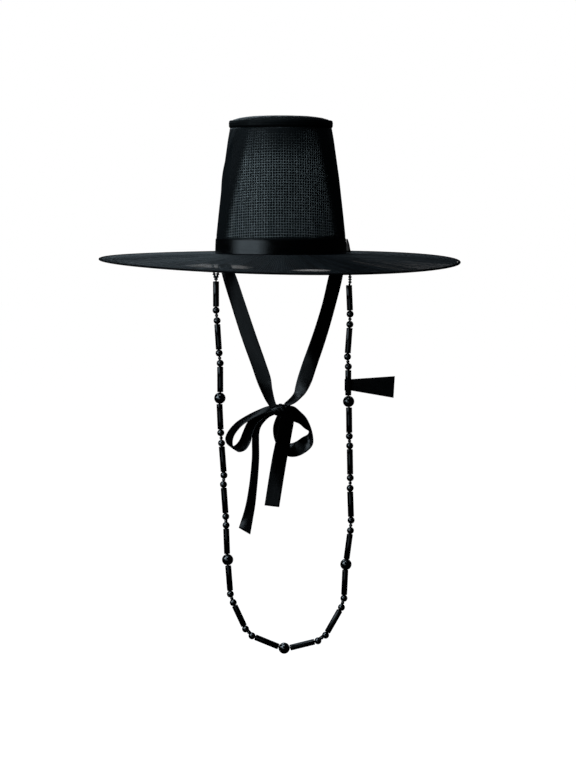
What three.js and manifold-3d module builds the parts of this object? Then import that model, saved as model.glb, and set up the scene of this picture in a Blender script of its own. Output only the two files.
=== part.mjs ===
// Black costume hat in the Korean gat form: a tall net crown under a sheer cover, a wide sheer
// brim on a wire, a satin band, two satin chin ribbons tied in a bow and a long string of beads.
// Millimetres, +Z up. The origin is the centre of the head opening, at the foot of the crown.
// The front of the hat faces -Y, and the wearer's left side is +X.
import * as THREE from 'three';
import { mergeVertices } from 'three/addons/utils/BufferGeometryUtils.js';
import Module from 'manifold-3d';

const wasm = await Module();
wasm.setup();

// Driving sizes
const CLOTH = 1.0;
const CLEARANCE = 0.35;
const ROUND_SIDES = 36;
const FULL_TURN = 2 * Math.PI;

const CROWN_PROFILE = [
  { z: 0, r: 82.8 },
  { z: 24, r: 82.0 },
  { z: 50, r: 79.3 },
  { z: 96, r: 74.1 },
  { z: 145, r: 67.1 },
  { z: 158.9, r: 64.6 },
];
const NET = { low: 1.0, high: 157.5, inset: 1.6, columns: 18, rows: 4, upright: 0.22, hoop: 5 };
const LIP = { r: 63.7, z: 163.9, halfWidth: 2.8, halfHeight: 4.6, sides: 6 };
const TOP_OUTLINE = [
  { r: 0, z: 174.6 },
  { r: 25, z: 174.4 },
  { r: 38, z: 173.8 },
  { r: 53, z: 171.8 },
  { r: 60.3, z: 169.7 },
  { r: 61.0, z: 168.4 },
  { r: 61.0, z: 163.5 },
  { r: 60.0, z: 163.5 },
  { r: 60.0, z: 167.9 },
  { r: 52.8, z: 170.7 },
  { r: 38, z: 172.7 },
  { r: 0, z: 173.5 },
];

const RIBBON_WIDTH = 19;
const BAND = { low: 0.3, high: 0.3 + RIBBON_WIDTH };

const BRIM = { inner: 81.5, edge: 225.6, thickness: 1.2, sides: 48, foot: -0.9 };
const RIM = { r: 228.0, halfWidth: 2.1, halfHeight: 1.3, seam: 0.8, sideways: -1.5 };
const RIM_DROOP = { mean: -8.7, roll: -1.9, pitch: 8.8, saddle: 1.8, saddleAt: THREE.MathUtils.degToRad(26) };

const TUBE_BEAD = { r: 3.55, length: 32.3 };
const SMALL_BEAD = 4.4;
const SEED_BEAD = 1.5;
const THREAD = 0.8;
const THREAD_SIDES = 6;
const LARGE_BEAD = 7.1;
const BEAD_SIDES = 10;
const BEAD_RINGS = [-0.81, -0.31, 0.31, 0.81];

const SATIN = { color: 0x15181b, roughness: 0.35, metalness: 0.0 };
const ORGANZA = { color: 0x1b2023, roughness: 0.5, metalness: 0.0 };
const NETTING = { color: 0x2b3234, roughness: 0.6, metalness: 0.0 };
const BINDING = { color: 0x0a0b0d, roughness: 0.6, metalness: 0.0 };
const JET = { color: 0x050506, roughness: 0.12, metalness: 0.0 };
const LABEL = { color: 0x0c0d0f, roughness: 0.7, metalness: 0.0 };

const hat = new THREE.Group();

// Adds one named piece of the hat
function addPiece(name, geometry, finish) {
  const mesh = new THREE.Mesh(outward(geometry), new THREE.MeshStandardMaterial(finish));
  mesh.name = name;
  hat.add(mesh);
}

// Welds a geometry's vertices and turns its faces outwards
function outward(geometry) {
  let welded = geometry;
  welded.deleteAttribute('normal');
  welded.deleteAttribute('uv');
  welded = mergeVertices(welded, 1e-4);
  const p = welded.attributes.position;
  const index = welded.index.array;
  const a = new THREE.Vector3();
  const b = new THREE.Vector3();
  const c = new THREE.Vector3();
  let volume = 0;
  for (let i = 0; i < index.length; i += 3) {
    a.fromBufferAttribute(p, index[i]);
    b.fromBufferAttribute(p, index[i + 1]);
    c.fromBufferAttribute(p, index[i + 2]);
    volume += a.dot(b.cross(c));
  }
  if (volume < 0) {
    for (let i = 0; i < index.length; i += 3) {
      [index[i + 1], index[i + 2]] = [index[i + 2], index[i + 1]];
    }
  }
  return welded;
}

function toSolid(geometry) {
  const closed = outward(geometry);
  return new wasm.Manifold(new wasm.Mesh({
    numProp: 3,
    vertProperties: new Float32Array(closed.attributes.position.array),
    triVerts: new Uint32Array(closed.index.array),
  }));
}

function fromSolid(solid) {
  const mesh = solid.getMesh();
  const geometry = new THREE.BufferGeometry();
  geometry.setAttribute('position', new THREE.BufferAttribute(new Float32Array(mesh.vertProperties), 3));
  geometry.setIndex(new THREE.BufferAttribute(new Uint32Array(mesh.triVerts), 1));
  return geometry;
}

function fromTriangles(vertices, triangles) {
  const geometry = new THREE.BufferGeometry();
  const numbers = vertices.flatMap((vertex) => vertex.toArray());
  geometry.setAttribute('position', new THREE.Float32BufferAttribute(numbers, 3));
  geometry.setIndex(triangles);
  return geometry;
}

// Turns a list of { r, z } points round the Z axis
function revolve(points, sides = ROUND_SIDES) {
  const outline = points.map((p) => new THREE.Vector2(p.r, p.z));
  return new THREE.LatheGeometry(outline, sides).rotateX(Math.PI / 2);
}

// The outside radius of the crown's cover at a height
function crownRadius(z) {
  const upper = CROWN_PROFILE.findIndex((row) => row.z >= z);
  if (upper <= 0) return CROWN_PROFILE[0].r;
  const a = CROWN_PROFILE[upper - 1];
  const b = CROWN_PROFILE[upper];
  return THREE.MathUtils.mapLinear(z, a.z, b.z, a.r, b.r);
}

// A cloth wall that follows the crown, with its outer face a given distance inside or outside it
function crownWall(heights, offset, thickness) {
  const outer = heights.map((z) => ({ z, r: crownRadius(z) + offset }));
  const inner = heights.map((z) => ({ z, r: crownRadius(z) + offset - thickness })).reverse();
  return revolve([...outer, ...inner, outer[0]]);
}

// Net wall of uprights and hoops: every second wide column is open between its hoops
function netWall() {
  const columnTurn = FULL_TURN / NET.columns;
  const angles = [];
  for (let i = 0; i < NET.columns; i += 1) {
    angles.push(i * columnTurn - (NET.upright * columnTurn) / 2);
    angles.push(i * columnTurn + (NET.upright * columnTurn) / 2);
  }
  const opening = (NET.high - NET.low - NET.hoop * (NET.rows + 1)) / NET.rows;
  const heights = [NET.low];
  for (let row = 0; row < NET.rows; row += 1) {
    heights.push(heights[heights.length - 1] + NET.hoop);
    heights.push(heights[heights.length - 1] + opening);
  }
  heights.push(NET.high);

  const vertices = [];
  const place = (angle, z, r) => new THREE.Vector3(r * Math.cos(angle), r * Math.sin(angle), z);
  for (const z of heights) {
    for (const angle of angles) {
      const r = crownRadius(z) - NET.inset;
      vertices.push(place(angle, z, r), place(angle, z, r - CLOTH));
    }
  }
  const count = angles.length;
  const at = (row, column, inside) => 2 * (row * count + (column % count)) + inside;
  const isOpen = (row, column) => row % 2 === 1 && column % 2 === 1;
  const triangles = [];
  const quad = (a, b, c, d) => triangles.push(a, b, c, a, c, d);
  const cells = heights.length - 1;
  for (let row = 0; row < cells; row += 1) {
    for (let column = 0; column < count; column += 1) {
      const [up, next] = [row + 1, column + 1];
      if (isOpen(row, column)) {
        quad(at(row, column, 0), at(row, next, 0), at(row, next, 1), at(row, column, 1));
        quad(at(up, column, 1), at(up, next, 1), at(up, next, 0), at(up, column, 0));
        quad(at(row, column, 1), at(up, column, 1), at(up, column, 0), at(row, column, 0));
        quad(at(row, next, 0), at(up, next, 0), at(up, next, 1), at(row, next, 1));
      } else {
        quad(at(row, column, 0), at(row, next, 0), at(up, next, 0), at(up, column, 0));
        quad(at(row, column, 1), at(up, column, 1), at(up, next, 1), at(row, next, 1));
      }
    }
  }
  for (let column = 0; column < count; column += 1) {
    quad(at(0, column, 1), at(0, column + 1, 1), at(0, column + 1, 0), at(0, column, 0));
    quad(at(cells, column, 0), at(cells, column + 1, 0), at(cells, column + 1, 1), at(cells, column, 1));
  }
  return fromTriangles(vertices, triangles);
}

function lipRing() {
  const points = [];
  for (let i = 0; i <= LIP.sides; i += 1) {
    const turn = (i / LIP.sides + 0.25) * FULL_TURN;
    points.push({ r: LIP.r + LIP.halfWidth * Math.cos(turn), z: LIP.z + LIP.halfHeight * Math.sin(turn) });
  }
  return revolve(points);
}

// Height of the brim's wire round the hat: it droops at the front and lies a little twisted
function rimHeight(angle) {
  return RIM_DROOP.mean
    + RIM_DROOP.roll * Math.cos(angle)
    + RIM_DROOP.pitch * Math.sin(angle)
    + RIM_DROOP.saddle * Math.cos(2 * (angle - RIM_DROOP.saddleAt));
}

// Bends a flat ring into the brim: straight from the crown's foot out to the wire
function droop(geometry) {
  const p = geometry.attributes.position;
  for (let i = 0; i < p.count; i += 1) {
    const angle = Math.atan2(p.getY(i), p.getX(i));
    const out = (Math.hypot(p.getX(i), p.getY(i)) - BRIM.inner) / (RIM.r - BRIM.inner);
    const height = BRIM.foot + (rimHeight(angle) - BRIM.foot) * out;
    p.setXYZ(i, p.getX(i) + RIM.sideways * out, p.getY(i), p.getZ(i) + height);
  }
  return geometry;
}

function brimSheet() {
  const half = BRIM.thickness / 2;
  const middle = (BRIM.inner + BRIM.edge) / 2;
  const outline = [
    { r: BRIM.inner, z: half },
    { r: middle, z: half },
    { r: BRIM.edge, z: half },
    { r: BRIM.edge, z: -half },
    { r: middle, z: -half },
    { r: BRIM.inner, z: -half },
    { r: BRIM.inner, z: half },
  ];
  return droop(revolve(outline, BRIM.sides));
}

function rimBinding() {
  const { r, halfWidth, halfHeight, seam } = RIM;
  const outline = [
    { r: r - halfWidth, z: seam },
    { r: r - halfWidth, z: -seam },
    { r, z: -halfHeight },
    { r: r + halfWidth, z: 0 },
    { r, z: halfHeight },
    { r: r - halfWidth, z: seam },
  ];
  return droop(revolve(outline, BRIM.sides));
}

// Ribbon between two smooth edges. Each row gives the middle of the ribbon (x, y, z), its lean
// from the vertical in degrees, the width that shows from the front, and its depth along Y,
// negative where the right edge is the nearer one.
function ribbon(rows, steps) {
  const half = rows.map(({ lean, show, depth }) => {
    const turn = THREE.MathUtils.degToRad(lean);
    return new THREE.Vector3(show * Math.cos(turn), depth, show * Math.sin(turn)).multiplyScalar(0.5);
  });
  const middles = rows.map(({ x, y, z }) => new THREE.Vector3(x, y, z));
  const left = new THREE.CatmullRomCurve3(middles.map((m, i) => m.clone().sub(half[i])));
  const right = new THREE.CatmullRomCurve3(middles.map((m, i) => m.clone().add(half[i])));
  const vertices = [];
  for (let i = 0; i <= steps; i += 1) {
    const t = i / steps;
    const a = left.getPoint(t);
    const b = right.getPoint(t);
    const run = left.getTangent(t).add(right.getTangent(t));
    const face = run.cross(b.clone().sub(a)).setLength(CLOTH / 2);
    vertices.push(a.clone().add(face), b.clone().add(face), b.clone().sub(face), a.clone().sub(face));
  }
  // Both faces are split along the same diagonal, so a twist doesn't thin the cloth
  const backFace = 2;
  const triangles = [0, 1, 2, 0, 2, 3];
  for (let i = 0; i < steps; i += 1) {
    for (let side = 0; side < 4; side += 1) {
      const a = 4 * i + side;
      const b = 4 * i + ((side + 1) % 4);
      if (side === backFace) {
        triangles.push(a, a + 4, b, b, a + 4, b + 4);
      } else {
        triangles.push(a, a + 4, b + 4, a, b + 4, b);
      }
    }
  }
  const end = 4 * steps;
  triangles.push(end, end + 2, end + 1, end, end + 3, end + 2);
  return fromTriangles(vertices, triangles);
}

// Chin ribbons, from where they are sewn inside the crown's foot down to the knot
const RIBBON_LEFT = [
  { x: -71.8, y: -29.0, z: 15, lean: 0, show: 7.1, depth: -17.6 },
  { x: -71.9, y: -29.1, z: 1, lean: 0, show: 7.1, depth: -17.6 },
  { x: -71.6, y: -30.0, z: -9, lean: 10, show: 11.5, depth: -15 },
  { x: -65.7, y: -31.0, z: -26, lean: 18.8, show: 16.4, depth: -9.6 },
  { x: -53.4, y: -31.0, z: -64, lean: 17.8, show: 18.0, depth: -6 },
  { x: -41.0, y: -31.0, z: -102, lean: 19, show: 18.6, depth: -3.9 },
  { x: -27.6, y: -31.0, z: -140, lean: 18.8, show: 19, depth: 0 },
  { x: -21.3, y: -31.0, z: -159, lean: 17, show: 18.6, depth: 3.5 },
  { x: -17.9, y: -31.0, z: -171.5, lean: 16, show: 14.7, depth: 8 },
  { x: -13.4, y: -31.5, z: -184.2, lean: 21, show: 11.2, depth: 7 },
  { x: -9.0, y: -32.5, z: -193.0, lean: 23, show: 8.0, depth: 6 },
];
const RIBBON_RIGHT = [
  { x: 71.8, y: -29.0, z: 15, lean: 0, show: 7.1, depth: 17.6 },
  { x: 71.9, y: -29.1, z: 1, lean: 0, show: 7.1, depth: 17.6 },
  { x: 73.4, y: -30.0, z: -9, lean: -10, show: 13.5, depth: 13.4 },
  { x: 69.6, y: -31.0, z: -26, lean: -13.9, show: 17.4, depth: 7.7 },
  { x: 60.5, y: -31.0, z: -64, lean: -14.6, show: 17.1, depth: 8.3 },
  { x: 49.3, y: -31.0, z: -102, lean: -18, show: 18.0, depth: 6 },
  { x: 36.2, y: -31.0, z: -140, lean: -19, show: 19, depth: 0 },
  { x: 29.9, y: -31.0, z: -159, lean: -20, show: 18.6, depth: -4 },
  { x: 24.9, y: -31.0, z: -171.5, lean: -26, show: 14.8, depth: -9 },
  { x: 21.3, y: -31.5, z: -177.9, lean: -36, show: 10.9, depth: -9.5 },
  { x: 15.4, y: -33.0, z: -184.2, lean: -46, show: 8.6, depth: -9 },
  { x: 5.5, y: -35.5, z: -190.5, lean: -60, show: 5.0, depth: -4 },
];

// The bow: a loop and a tail each side of the knot. A loop's lean turns with its run.
const LOOP_LEFT = [
  { x: -9.0, y: -33.5, z: -194.0, lean: -63, show: 6.0, depth: -9 },
  { x: -15.5, y: -33.0, z: -195.6, lean: -60, show: 7.0, depth: -11 },
  { x: -27.4, y: -32.0, z: -199.9, lean: -48, show: 6.0, depth: -15 },
  { x: -40.6, y: -31.5, z: -206.4, lean: -38, show: 6.2, depth: -17 },
  { x: -54.3, y: -31.0, z: -216.0, lean: -26, show: 7.8, depth: -17.2 },
  { x: -64.1, y: -31.0, z: -229.0, lean: -24, show: 9.2, depth: -16.6 },
  { x: -65.5, y: -31.0, z: -238.8, lean: -33, show: 12.0, depth: -14.6 },
  { x: -60.5, y: -31.0, z: -245.9, lean: -30, show: 14.6, depth: -12.1 },
  { x: -52.6, y: -31.0, z: -245.4, lean: -17, show: 15.0, depth: -11.5 },
  { x: -46.0, y: -31.0, z: -237.6, lean: -6, show: 14.4, depth: -12.4 },
  { x: -42.0, y: -31.0, z: -226.0, lean: -6, show: 12.4, depth: -14.4 },
  { x: -35.6, y: -31.5, z: -212.4, lean: -12, show: 11.6, depth: -14.8 },
  { x: -26.0, y: -32.0, z: -204.0, lean: -32, show: 9.5, depth: -13.5 },
  { x: -17.0, y: -32.5, z: -199.9, lean: -55, show: 6.6, depth: -11.5 },
  { x: -9.0, y: -33.0, z: -198.0, lean: -62, show: 5.0, depth: -9 },
];
const TAIL_LEFT = [
  { x: -9.5, y: -31.5, z: -200.8, lean: -62, show: 4.0, depth: -9 },
  { x: -16.0, y: -30.5, z: -203.4, lean: -52, show: 5.0, depth: -11.5 },
  { x: -22.8, y: -29.5, z: -208.6, lean: -40, show: 6.6, depth: -14 },
  { x: -28.6, y: -29.0, z: -216.4, lean: -24, show: 7.2, depth: -16.2 },
  { x: -31.6, y: -29.0, z: -225.0, lean: -8, show: 7.8, depth: -17.2 },
  { x: -32.4, y: -29.0, z: -234.0, lean: 0, show: 8.2, depth: -17.1 },
  { x: -32.3, y: -29.0, z: -255.5, lean: -1, show: 8.4, depth: -17.0 },
  { x: -33.6, y: -29.0, z: -276.0, lean: -4, show: 8.8, depth: -16.8 },
  { x: -35.6, y: -29.0, z: -296.3, lean: -7, show: 9.4, depth: -16.5 },
  { x: -38.4, y: -29.0, z: -316.7, lean: -9, show: 10.6, depth: -15.7 },
  { x: -41.6, y: -29.0, z: -332.1, lean: -13, show: 11.9, depth: -14.8 },
  { x: -46.3, y: -29.0, z: -351.8, lean: -26, show: 15.2, depth: -11.4 },
];
const LOOP_RIGHT = [
  { x: 8.0, y: -30.0, z: -193.5, lean: -117, show: 7.0, depth: 9 },
  { x: 14.0, y: -29.5, z: -196.4, lean: -120, show: 9.6, depth: 11 },
  { x: 20.4, y: -29.0, z: -202.0, lean: -126, show: 11.8, depth: 13.4 },
  { x: 27.6, y: -29.0, z: -210.6, lean: -131, show: 12.6, depth: 14.2 },
  { x: 33.6, y: -29.0, z: -218.6, lean: -140, show: 8.6, depth: 16.9 },
  { x: 37.9, y: -29.0, z: -226.6, lean: -215, show: 6.0, depth: 18.0 },
  { x: 37.4, y: -29.0, z: -234.2, lean: -242, show: 13.0, depth: 13.9 },
  { x: 30.4, y: -29.0, z: -240.6, lean: -250, show: 18.0, depth: 6.1 },
  { x: 19.8, y: -29.0, z: -246.8, lean: -265, show: 18.6, depth: 4.0 },
  { x: 9.9, y: -29.0, z: -247.6, lean: -282, show: 15.1, depth: 11.5 },
  { x: 1.8, y: -28.5, z: -241.4, lean: -307, show: 12.5, depth: 14.3 },
  { x: -4.1, y: -28.0, z: -229.0, lean: -338, show: 10.2, depth: 16.0 },
  { x: -5.0, y: -28.0, z: -217.0, lean: -358, show: 9.0, depth: 15.0 },
  { x: -2.4, y: -29.0, z: -207.4, lean: -370, show: 7.6, depth: 11.0 },
  { x: 0.0, y: -30.0, z: -201.0, lean: -374, show: 6.4, depth: 8.0 },
];
const TAIL_RIGHT = [
  { x: 8.6, y: -37.5, z: -201.5, lean: -11, show: 12.0, depth: -5 },
  { x: 7.6, y: -39.5, z: -210.0, lean: -11, show: 16.5, depth: -5 },
  { x: 5.0, y: -41.0, z: -224.0, lean: -11, show: 18.6, depth: -3 },
  { x: 1.9, y: -41.5, z: -240.2, lean: -11, show: 18.9, depth: -1 },
  { x: -1.2, y: -41.0, z: -255.5, lean: -10.5, show: 18.4, depth: -4.7 },
  { x: -4.7, y: -40.0, z: -275.9, lean: -9.5, show: 18.1, depth: -5.8 },
  { x: -7.9, y: -39.0, z: -296.3, lean: -9, show: 17.8, depth: -6.6 },
  { x: -11.4, y: -38.0, z: -318.8, lean: -6, show: 17.2, depth: -8 },
];
const KNOT = { x: 0.5, y: -33, z: -196.5, halfWidth: 15, halfDepth: 8.5, halfHeight: 8 };

function knotBall(grow) {
  const ball = new THREE.SphereGeometry(1, 12, 8).rotateX(Math.PI / 2);
  ball.scale(KNOT.halfWidth + grow, KNOT.halfDepth + grow, KNOT.halfHeight + grow);
  return ball.translate(KNOT.x, KNOT.y, KNOT.z);
}

// A ribbon that runs into the knot stops just short of it
function ribbonToKnot(rows, steps) {
  const strip = toSolid(ribbon(rows, steps));
  return fromSolid(strip.subtract(toSolid(knotBall(CLEARANCE))));
}

// The band's free end, folded over at the wearer's left and standing off the band
const BAND_END = [
  { x: 84.6, y: -1, z: 18.9, lean: 0, show: 0, depth: 20 },
  { x: 86.2, y: -1, z: 12.4, lean: 0, show: 0, depth: 20 },
  { x: 88.0, y: -1, z: 6.1, lean: 0, show: 0, depth: 20 },
  { x: 89.0, y: -1, z: 1.4, lean: 0, show: 0, depth: 20 },
];

// Tube beads of each side from the hat down: the middle of each and its lean from the vertical,
// with its length where it is a shorter one
const TUBES_LEFT = [
  { x: -82.7, z: -51.2, lean: 0 },
  { x: -80.2, z: -105.9, lean: 3.5 },
  { x: -77.6, z: -160.4, lean: 0 },
  { x: -77.9, z: -208.2, lean: 2.4 },
  { x: -74.6, z: -262.9, lean: 4.1 },
  { x: -72.3, z: -316.2, lean: 3.9 },
  { x: -69.8, z: -368.9, lean: 1.9 },
  { x: -66.7, z: -416.7, lean: 4.3 },
  { x: -53.6, z: -465.7, lean: 24.7, length: 28.6 },
  { x: -18.2, z: -499.8, lean: 67.6 },
];
const TUBES_RIGHT = [
  { x: 87.4, z: -56.0, lean: 2.3 },
  { x: 86.5, z: -110.6, lean: -4.0 },
  { x: 86.1, z: -164.7, lean: 0 },
  { x: 87.3, z: -212.6, lean: 0.8 },
  { x: 88.5, z: -266.3, lean: 1.0 },
  { x: 89.4, z: -321.0, lean: 1.9 },
  { x: 86.5, z: -375.6, lean: -7.6 },
  { x: 82.0, z: -422.2, lean: -2.5 },
  { x: 67.7, z: -472.9, lean: -29.4 },
  { x: 27.5, z: -503.4, lean: -76 },
];
const LARGE_AFTER_TUBE = [2, 6];
const BOTTOM_BEAD = { x: 4.1, z: -507.9 };

// Rings that draw one bead along its own axis: how far along, and how wide
function roundBeadRings(r) {
  return BEAD_RINGS.map((part) => ({ along: part * r, r: r * Math.sqrt(1 - part * part) }));
}

function straightBeadRings(r, length) {
  return [{ along: -length / 2, r }, { along: length / 2, r }];
}

// One fused strand of beads through a list of rings placed in the XZ plane
function strand(rings) {
  const vertices = [];
  for (const { middle, axis, r } of rings) {
    const side = new THREE.Vector3(axis.z, 0, -axis.x);
    for (let i = 0; i < BEAD_SIDES; i += 1) {
      const turn = (i / BEAD_SIDES) * FULL_TURN;
      const spoke = side.clone().multiplyScalar(Math.cos(turn)).add(new THREE.Vector3(0, Math.sin(turn), 0));
      vertices.push(middle.clone().addScaledVector(spoke, r));
    }
  }
  const triangles = [];
  const last = vertices.length - BEAD_SIDES;
  for (let i = 1; i < BEAD_SIDES - 1; i += 1) {
    triangles.push(0, i + 1, i, last, last + i, last + i + 1);
  }
  for (let start = 0; start < last; start += BEAD_SIDES) {
    for (let i = 0; i < BEAD_SIDES; i += 1) {
      const a = start + i;
      const b = start + ((i + 1) % BEAD_SIDES);
      triangles.push(a, b, b + BEAD_SIDES, a, b + BEAD_SIDES, a + BEAD_SIDES);
    }
  }
  return fromTriangles(vertices, triangles);
}

function downAxis(leanDegrees) {
  const lean = THREE.MathUtils.degToRad(leanDegrees);
  return new THREE.Vector3(Math.sin(lean), 0, -Math.cos(lean));
}

// Places one bead's rings with its middle at a point
function beadAt(middle, axis, rings) {
  return rings.map(({ along, r }) => ({ middle: middle.clone().addScaledVector(axis, along), axis, r }));
}

// The beads between two tubes: one large bead, or two small ones with a seed bead between them
function jointRings(above, below, isLarge) {
  if (isLarge) {
    const middle = above.foot.clone().lerp(below.head, 0.5);
    return beadAt(middle, below.head.clone().sub(above.foot).normalize(), roundBeadRings(LARGE_BEAD));
  }
  const upper = above.foot.clone().addScaledVector(above.axis, SMALL_BEAD);
  const lower = below.head.clone().addScaledVector(below.axis, -SMALL_BEAD);
  const seed = upper.clone().lerp(lower, 0.5);
  return [
    ...beadAt(upper, above.axis, roundBeadRings(SMALL_BEAD)),
    ...beadAt(seed, lower.clone().sub(upper).normalize(), straightBeadRings(SEED_BEAD, SEED_BEAD)),
    ...beadAt(lower, below.axis, roundBeadRings(SMALL_BEAD)),
  ];
}

// One side of the string from its thread down to its last tube
function sideRings(rows, top) {
  const tubes = rows.map(({ x, z, lean, length = TUBE_BEAD.length }) => {
    const middle = new THREE.Vector3(x, 0, z);
    const axis = downAxis(lean);
    const head = middle.clone().addScaledVector(axis, -length / 2);
    const foot = middle.clone().addScaledVector(axis, length / 2);
    return { middle, axis, length, head, foot };
  });
  const rings = beadAt(top, downAxis(0), [{ along: 0, r: THREAD }]);
  tubes.forEach((tube, i) => {
    rings.push(...beadAt(tube.middle, tube.axis, straightBeadRings(TUBE_BEAD.r, tube.length)));
    if (tubes[i + 1]) rings.push(...jointRings(tube, tubes[i + 1], LARGE_AFTER_TUBE.includes(i)));
  });
  return { rings, foot: tubes[tubes.length - 1].foot };
}

// The small loop of seed beads at each end, drawn as a plain loop: two arms that meet at both ends
const SEED_LOOP = { top: -5.65, foot: -31.9 };
const SEED_ARM = [
  { out: 0.3, z: SEED_LOOP.top },
  { out: 3.4, z: -7.4 },
  { out: 4.4, z: -13 },
  { out: 2.8, z: -24.5 },
  { out: 0, z: SEED_LOOP.foot },
];

function roundSection(r, sides) {
  const points = [];
  for (let i = 0; i < sides; i += 1) {
    const turn = (i / sides) * FULL_TURN;
    points.push(new THREE.Vector2(r * Math.cos(turn), r * Math.sin(turn)));
  }
  return new THREE.Shape(points);
}

function tubeAlong(points, r, steps) {
  const extrudePath = new THREE.CatmullRomCurve3(points);
  const section = roundSection(r, THREAD_SIDES);
  return new THREE.ExtrudeGeometry(section, { steps, extrudePath, bevelEnabled: false });
}

function seedLoop(x, facing) {
  const arm = (side) => toSolid(tubeAlong(
    SEED_ARM.map(({ out, z }) => new THREE.Vector3(x, 0, z).addScaledVector(facing, side * out)),
    SEED_BEAD,
    8,
  ));
  return arm(1).add(arm(-1));
}

// The thread loop under the brim that a seed loop hangs in, standing across it
const THREAD_LOOP = { r: 0.75, half: 3.2, top: -2.6, shoulder: -5.6, foot: -8.2 };

function threadLoop(x, across) {
  const { half, top, shoulder, foot } = THREAD_LOOP;
  const rows = [[-half, top], [-half, shoulder], [0, foot], [half, shoulder], [half, top]];
  const points = rows.map(([out, z]) => new THREE.Vector3(x, 0, z).addScaledVector(across, out));
  return tubeAlong(points, THREAD_LOOP.r, 10);
}

const ALONG_X = new THREE.Vector3(1, 0, 0);
const ALONG_Y = new THREE.Vector3(0, 1, 0);
const STRING_LEFT_X = -82.7;
const STRING_RIGHT_X = 88.0;

function beadStringLeft() {
  const top = new THREE.Vector3(STRING_LEFT_X, 0, SEED_LOOP.foot);
  const { rings, foot } = sideRings(TUBES_LEFT, top);
  const middle = new THREE.Vector3(BOTTOM_BEAD.x, 0, BOTTOM_BEAD.z);
  const axis = middle.clone().sub(foot).normalize();
  rings.push(...beadAt(middle, axis, [...roundBeadRings(LARGE_BEAD), { along: LARGE_BEAD, r: THREAD }]));
  return fromSolid(toSolid(strand(rings)).add(seedLoop(STRING_LEFT_X, ALONG_X)));
}

function beadStringRight() {
  const top = new THREE.Vector3(STRING_RIGHT_X, 0, SEED_LOOP.foot);
  const { rings } = sideRings(TUBES_RIGHT, top);
  return fromSolid(toSolid(strand(rings)).add(seedLoop(STRING_RIGHT_X, ALONG_Y)));
}

// Folded cloth label: two plies that wrap round a tube bead and widen to the free end
const LABEL_TAB = { thickness: 2.0, wrapInner: 3.95, wrapOuter: 4.95, low: -174.8, high: -159.9 };
const LABEL_OUTLINE = [
  { x: 90.4, z: -160.0 },
  { x: 145.8, z: -156.0 },
  { x: 146.4, z: -167.3 },
  { x: 143.2, z: -184.5 },
  { x: 90.4, z: -174.7 },
];

function labelTab() {
  const { thickness, wrapInner, wrapOuter, low, high } = LABEL_TAB;
  const face = new THREE.Shape(LABEL_OUTLINE.map(({ x, z }) => new THREE.Vector2(x, z)));
  const plies = new THREE.ExtrudeGeometry(face, { depth: thickness, bevelEnabled: false });
  plies.rotateX(Math.PI / 2).translate(0, thickness / 2, 0);
  const wrap = revolve([
    { r: wrapOuter, z: low },
    { r: wrapOuter, z: high },
    { r: wrapInner, z: high },
    { r: wrapInner, z: low },
    { r: wrapOuter, z: low },
  ], 12).translate(TUBES_RIGHT[2].x, 0, 0);
  return fromSolid(toSolid(plies).add(toSolid(wrap)));
}

addPiece('crown_net', netWall(), NETTING);
addPiece('crown_side', crownWall(CROWN_PROFILE.map((row) => row.z), 0, CLOTH), ORGANZA);
addPiece('crown_top', revolve(TOP_OUTLINE), ORGANZA);
addPiece('crown_lip', lipRing(), BINDING);
addPiece('hat_band', crownWall([BAND.low, BAND.high], CLEARANCE + CLOTH, CLOTH), SATIN);
addPiece('band_end', ribbon(BAND_END, 6), SATIN);
addPiece('brim', brimSheet(), ORGANZA);
addPiece('brim_edge', rimBinding(), BINDING);
addPiece('chin_ribbon_left', ribbonToKnot(RIBBON_LEFT, 22), SATIN);
addPiece('chin_ribbon_right', ribbonToKnot(RIBBON_RIGHT, 24), SATIN);
addPiece('bow_knot', knotBall(0), SATIN);
addPiece('bow_loop_left', ribbonToKnot(LOOP_LEFT, 26), SATIN);
addPiece('bow_tail_left', ribbonToKnot(TAIL_LEFT, 16), SATIN);
addPiece('bow_loop_right', ribbonToKnot(LOOP_RIGHT, 28), SATIN);
addPiece('bow_tail_right', ribbonToKnot(TAIL_RIGHT, 12), SATIN);
addPiece('thread_loop_left', threadLoop(STRING_LEFT_X, ALONG_Y), BINDING);
addPiece('thread_loop_right', threadLoop(STRING_RIGHT_X, ALONG_X), BINDING);
addPiece('bead_string_left', beadStringLeft(), JET);
addPiece('bead_string_right', beadStringRight(), JET);
addPiece('label_tab', labelTab(), LABEL);

export default hat;
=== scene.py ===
"""A black costume hat in the Korean gat form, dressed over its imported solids.

The hat has a tall crown of square net under a sheer cover, a wide sheer brim on a bound wire, a satin
band, two satin chin ribbons tied in a bow and a long string of jet-black beads. Metres, +Z up, the
front of the hat towards -Y. Tables are in millimetres, as a hat maker would write them.
"""

from __future__ import annotations

import logging
import math
from collections.abc import Callable, Sequence
from dataclasses import dataclass, field
from enum import Enum

import bmesh
import bpy
from mathutils import Matrix, Vector

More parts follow.
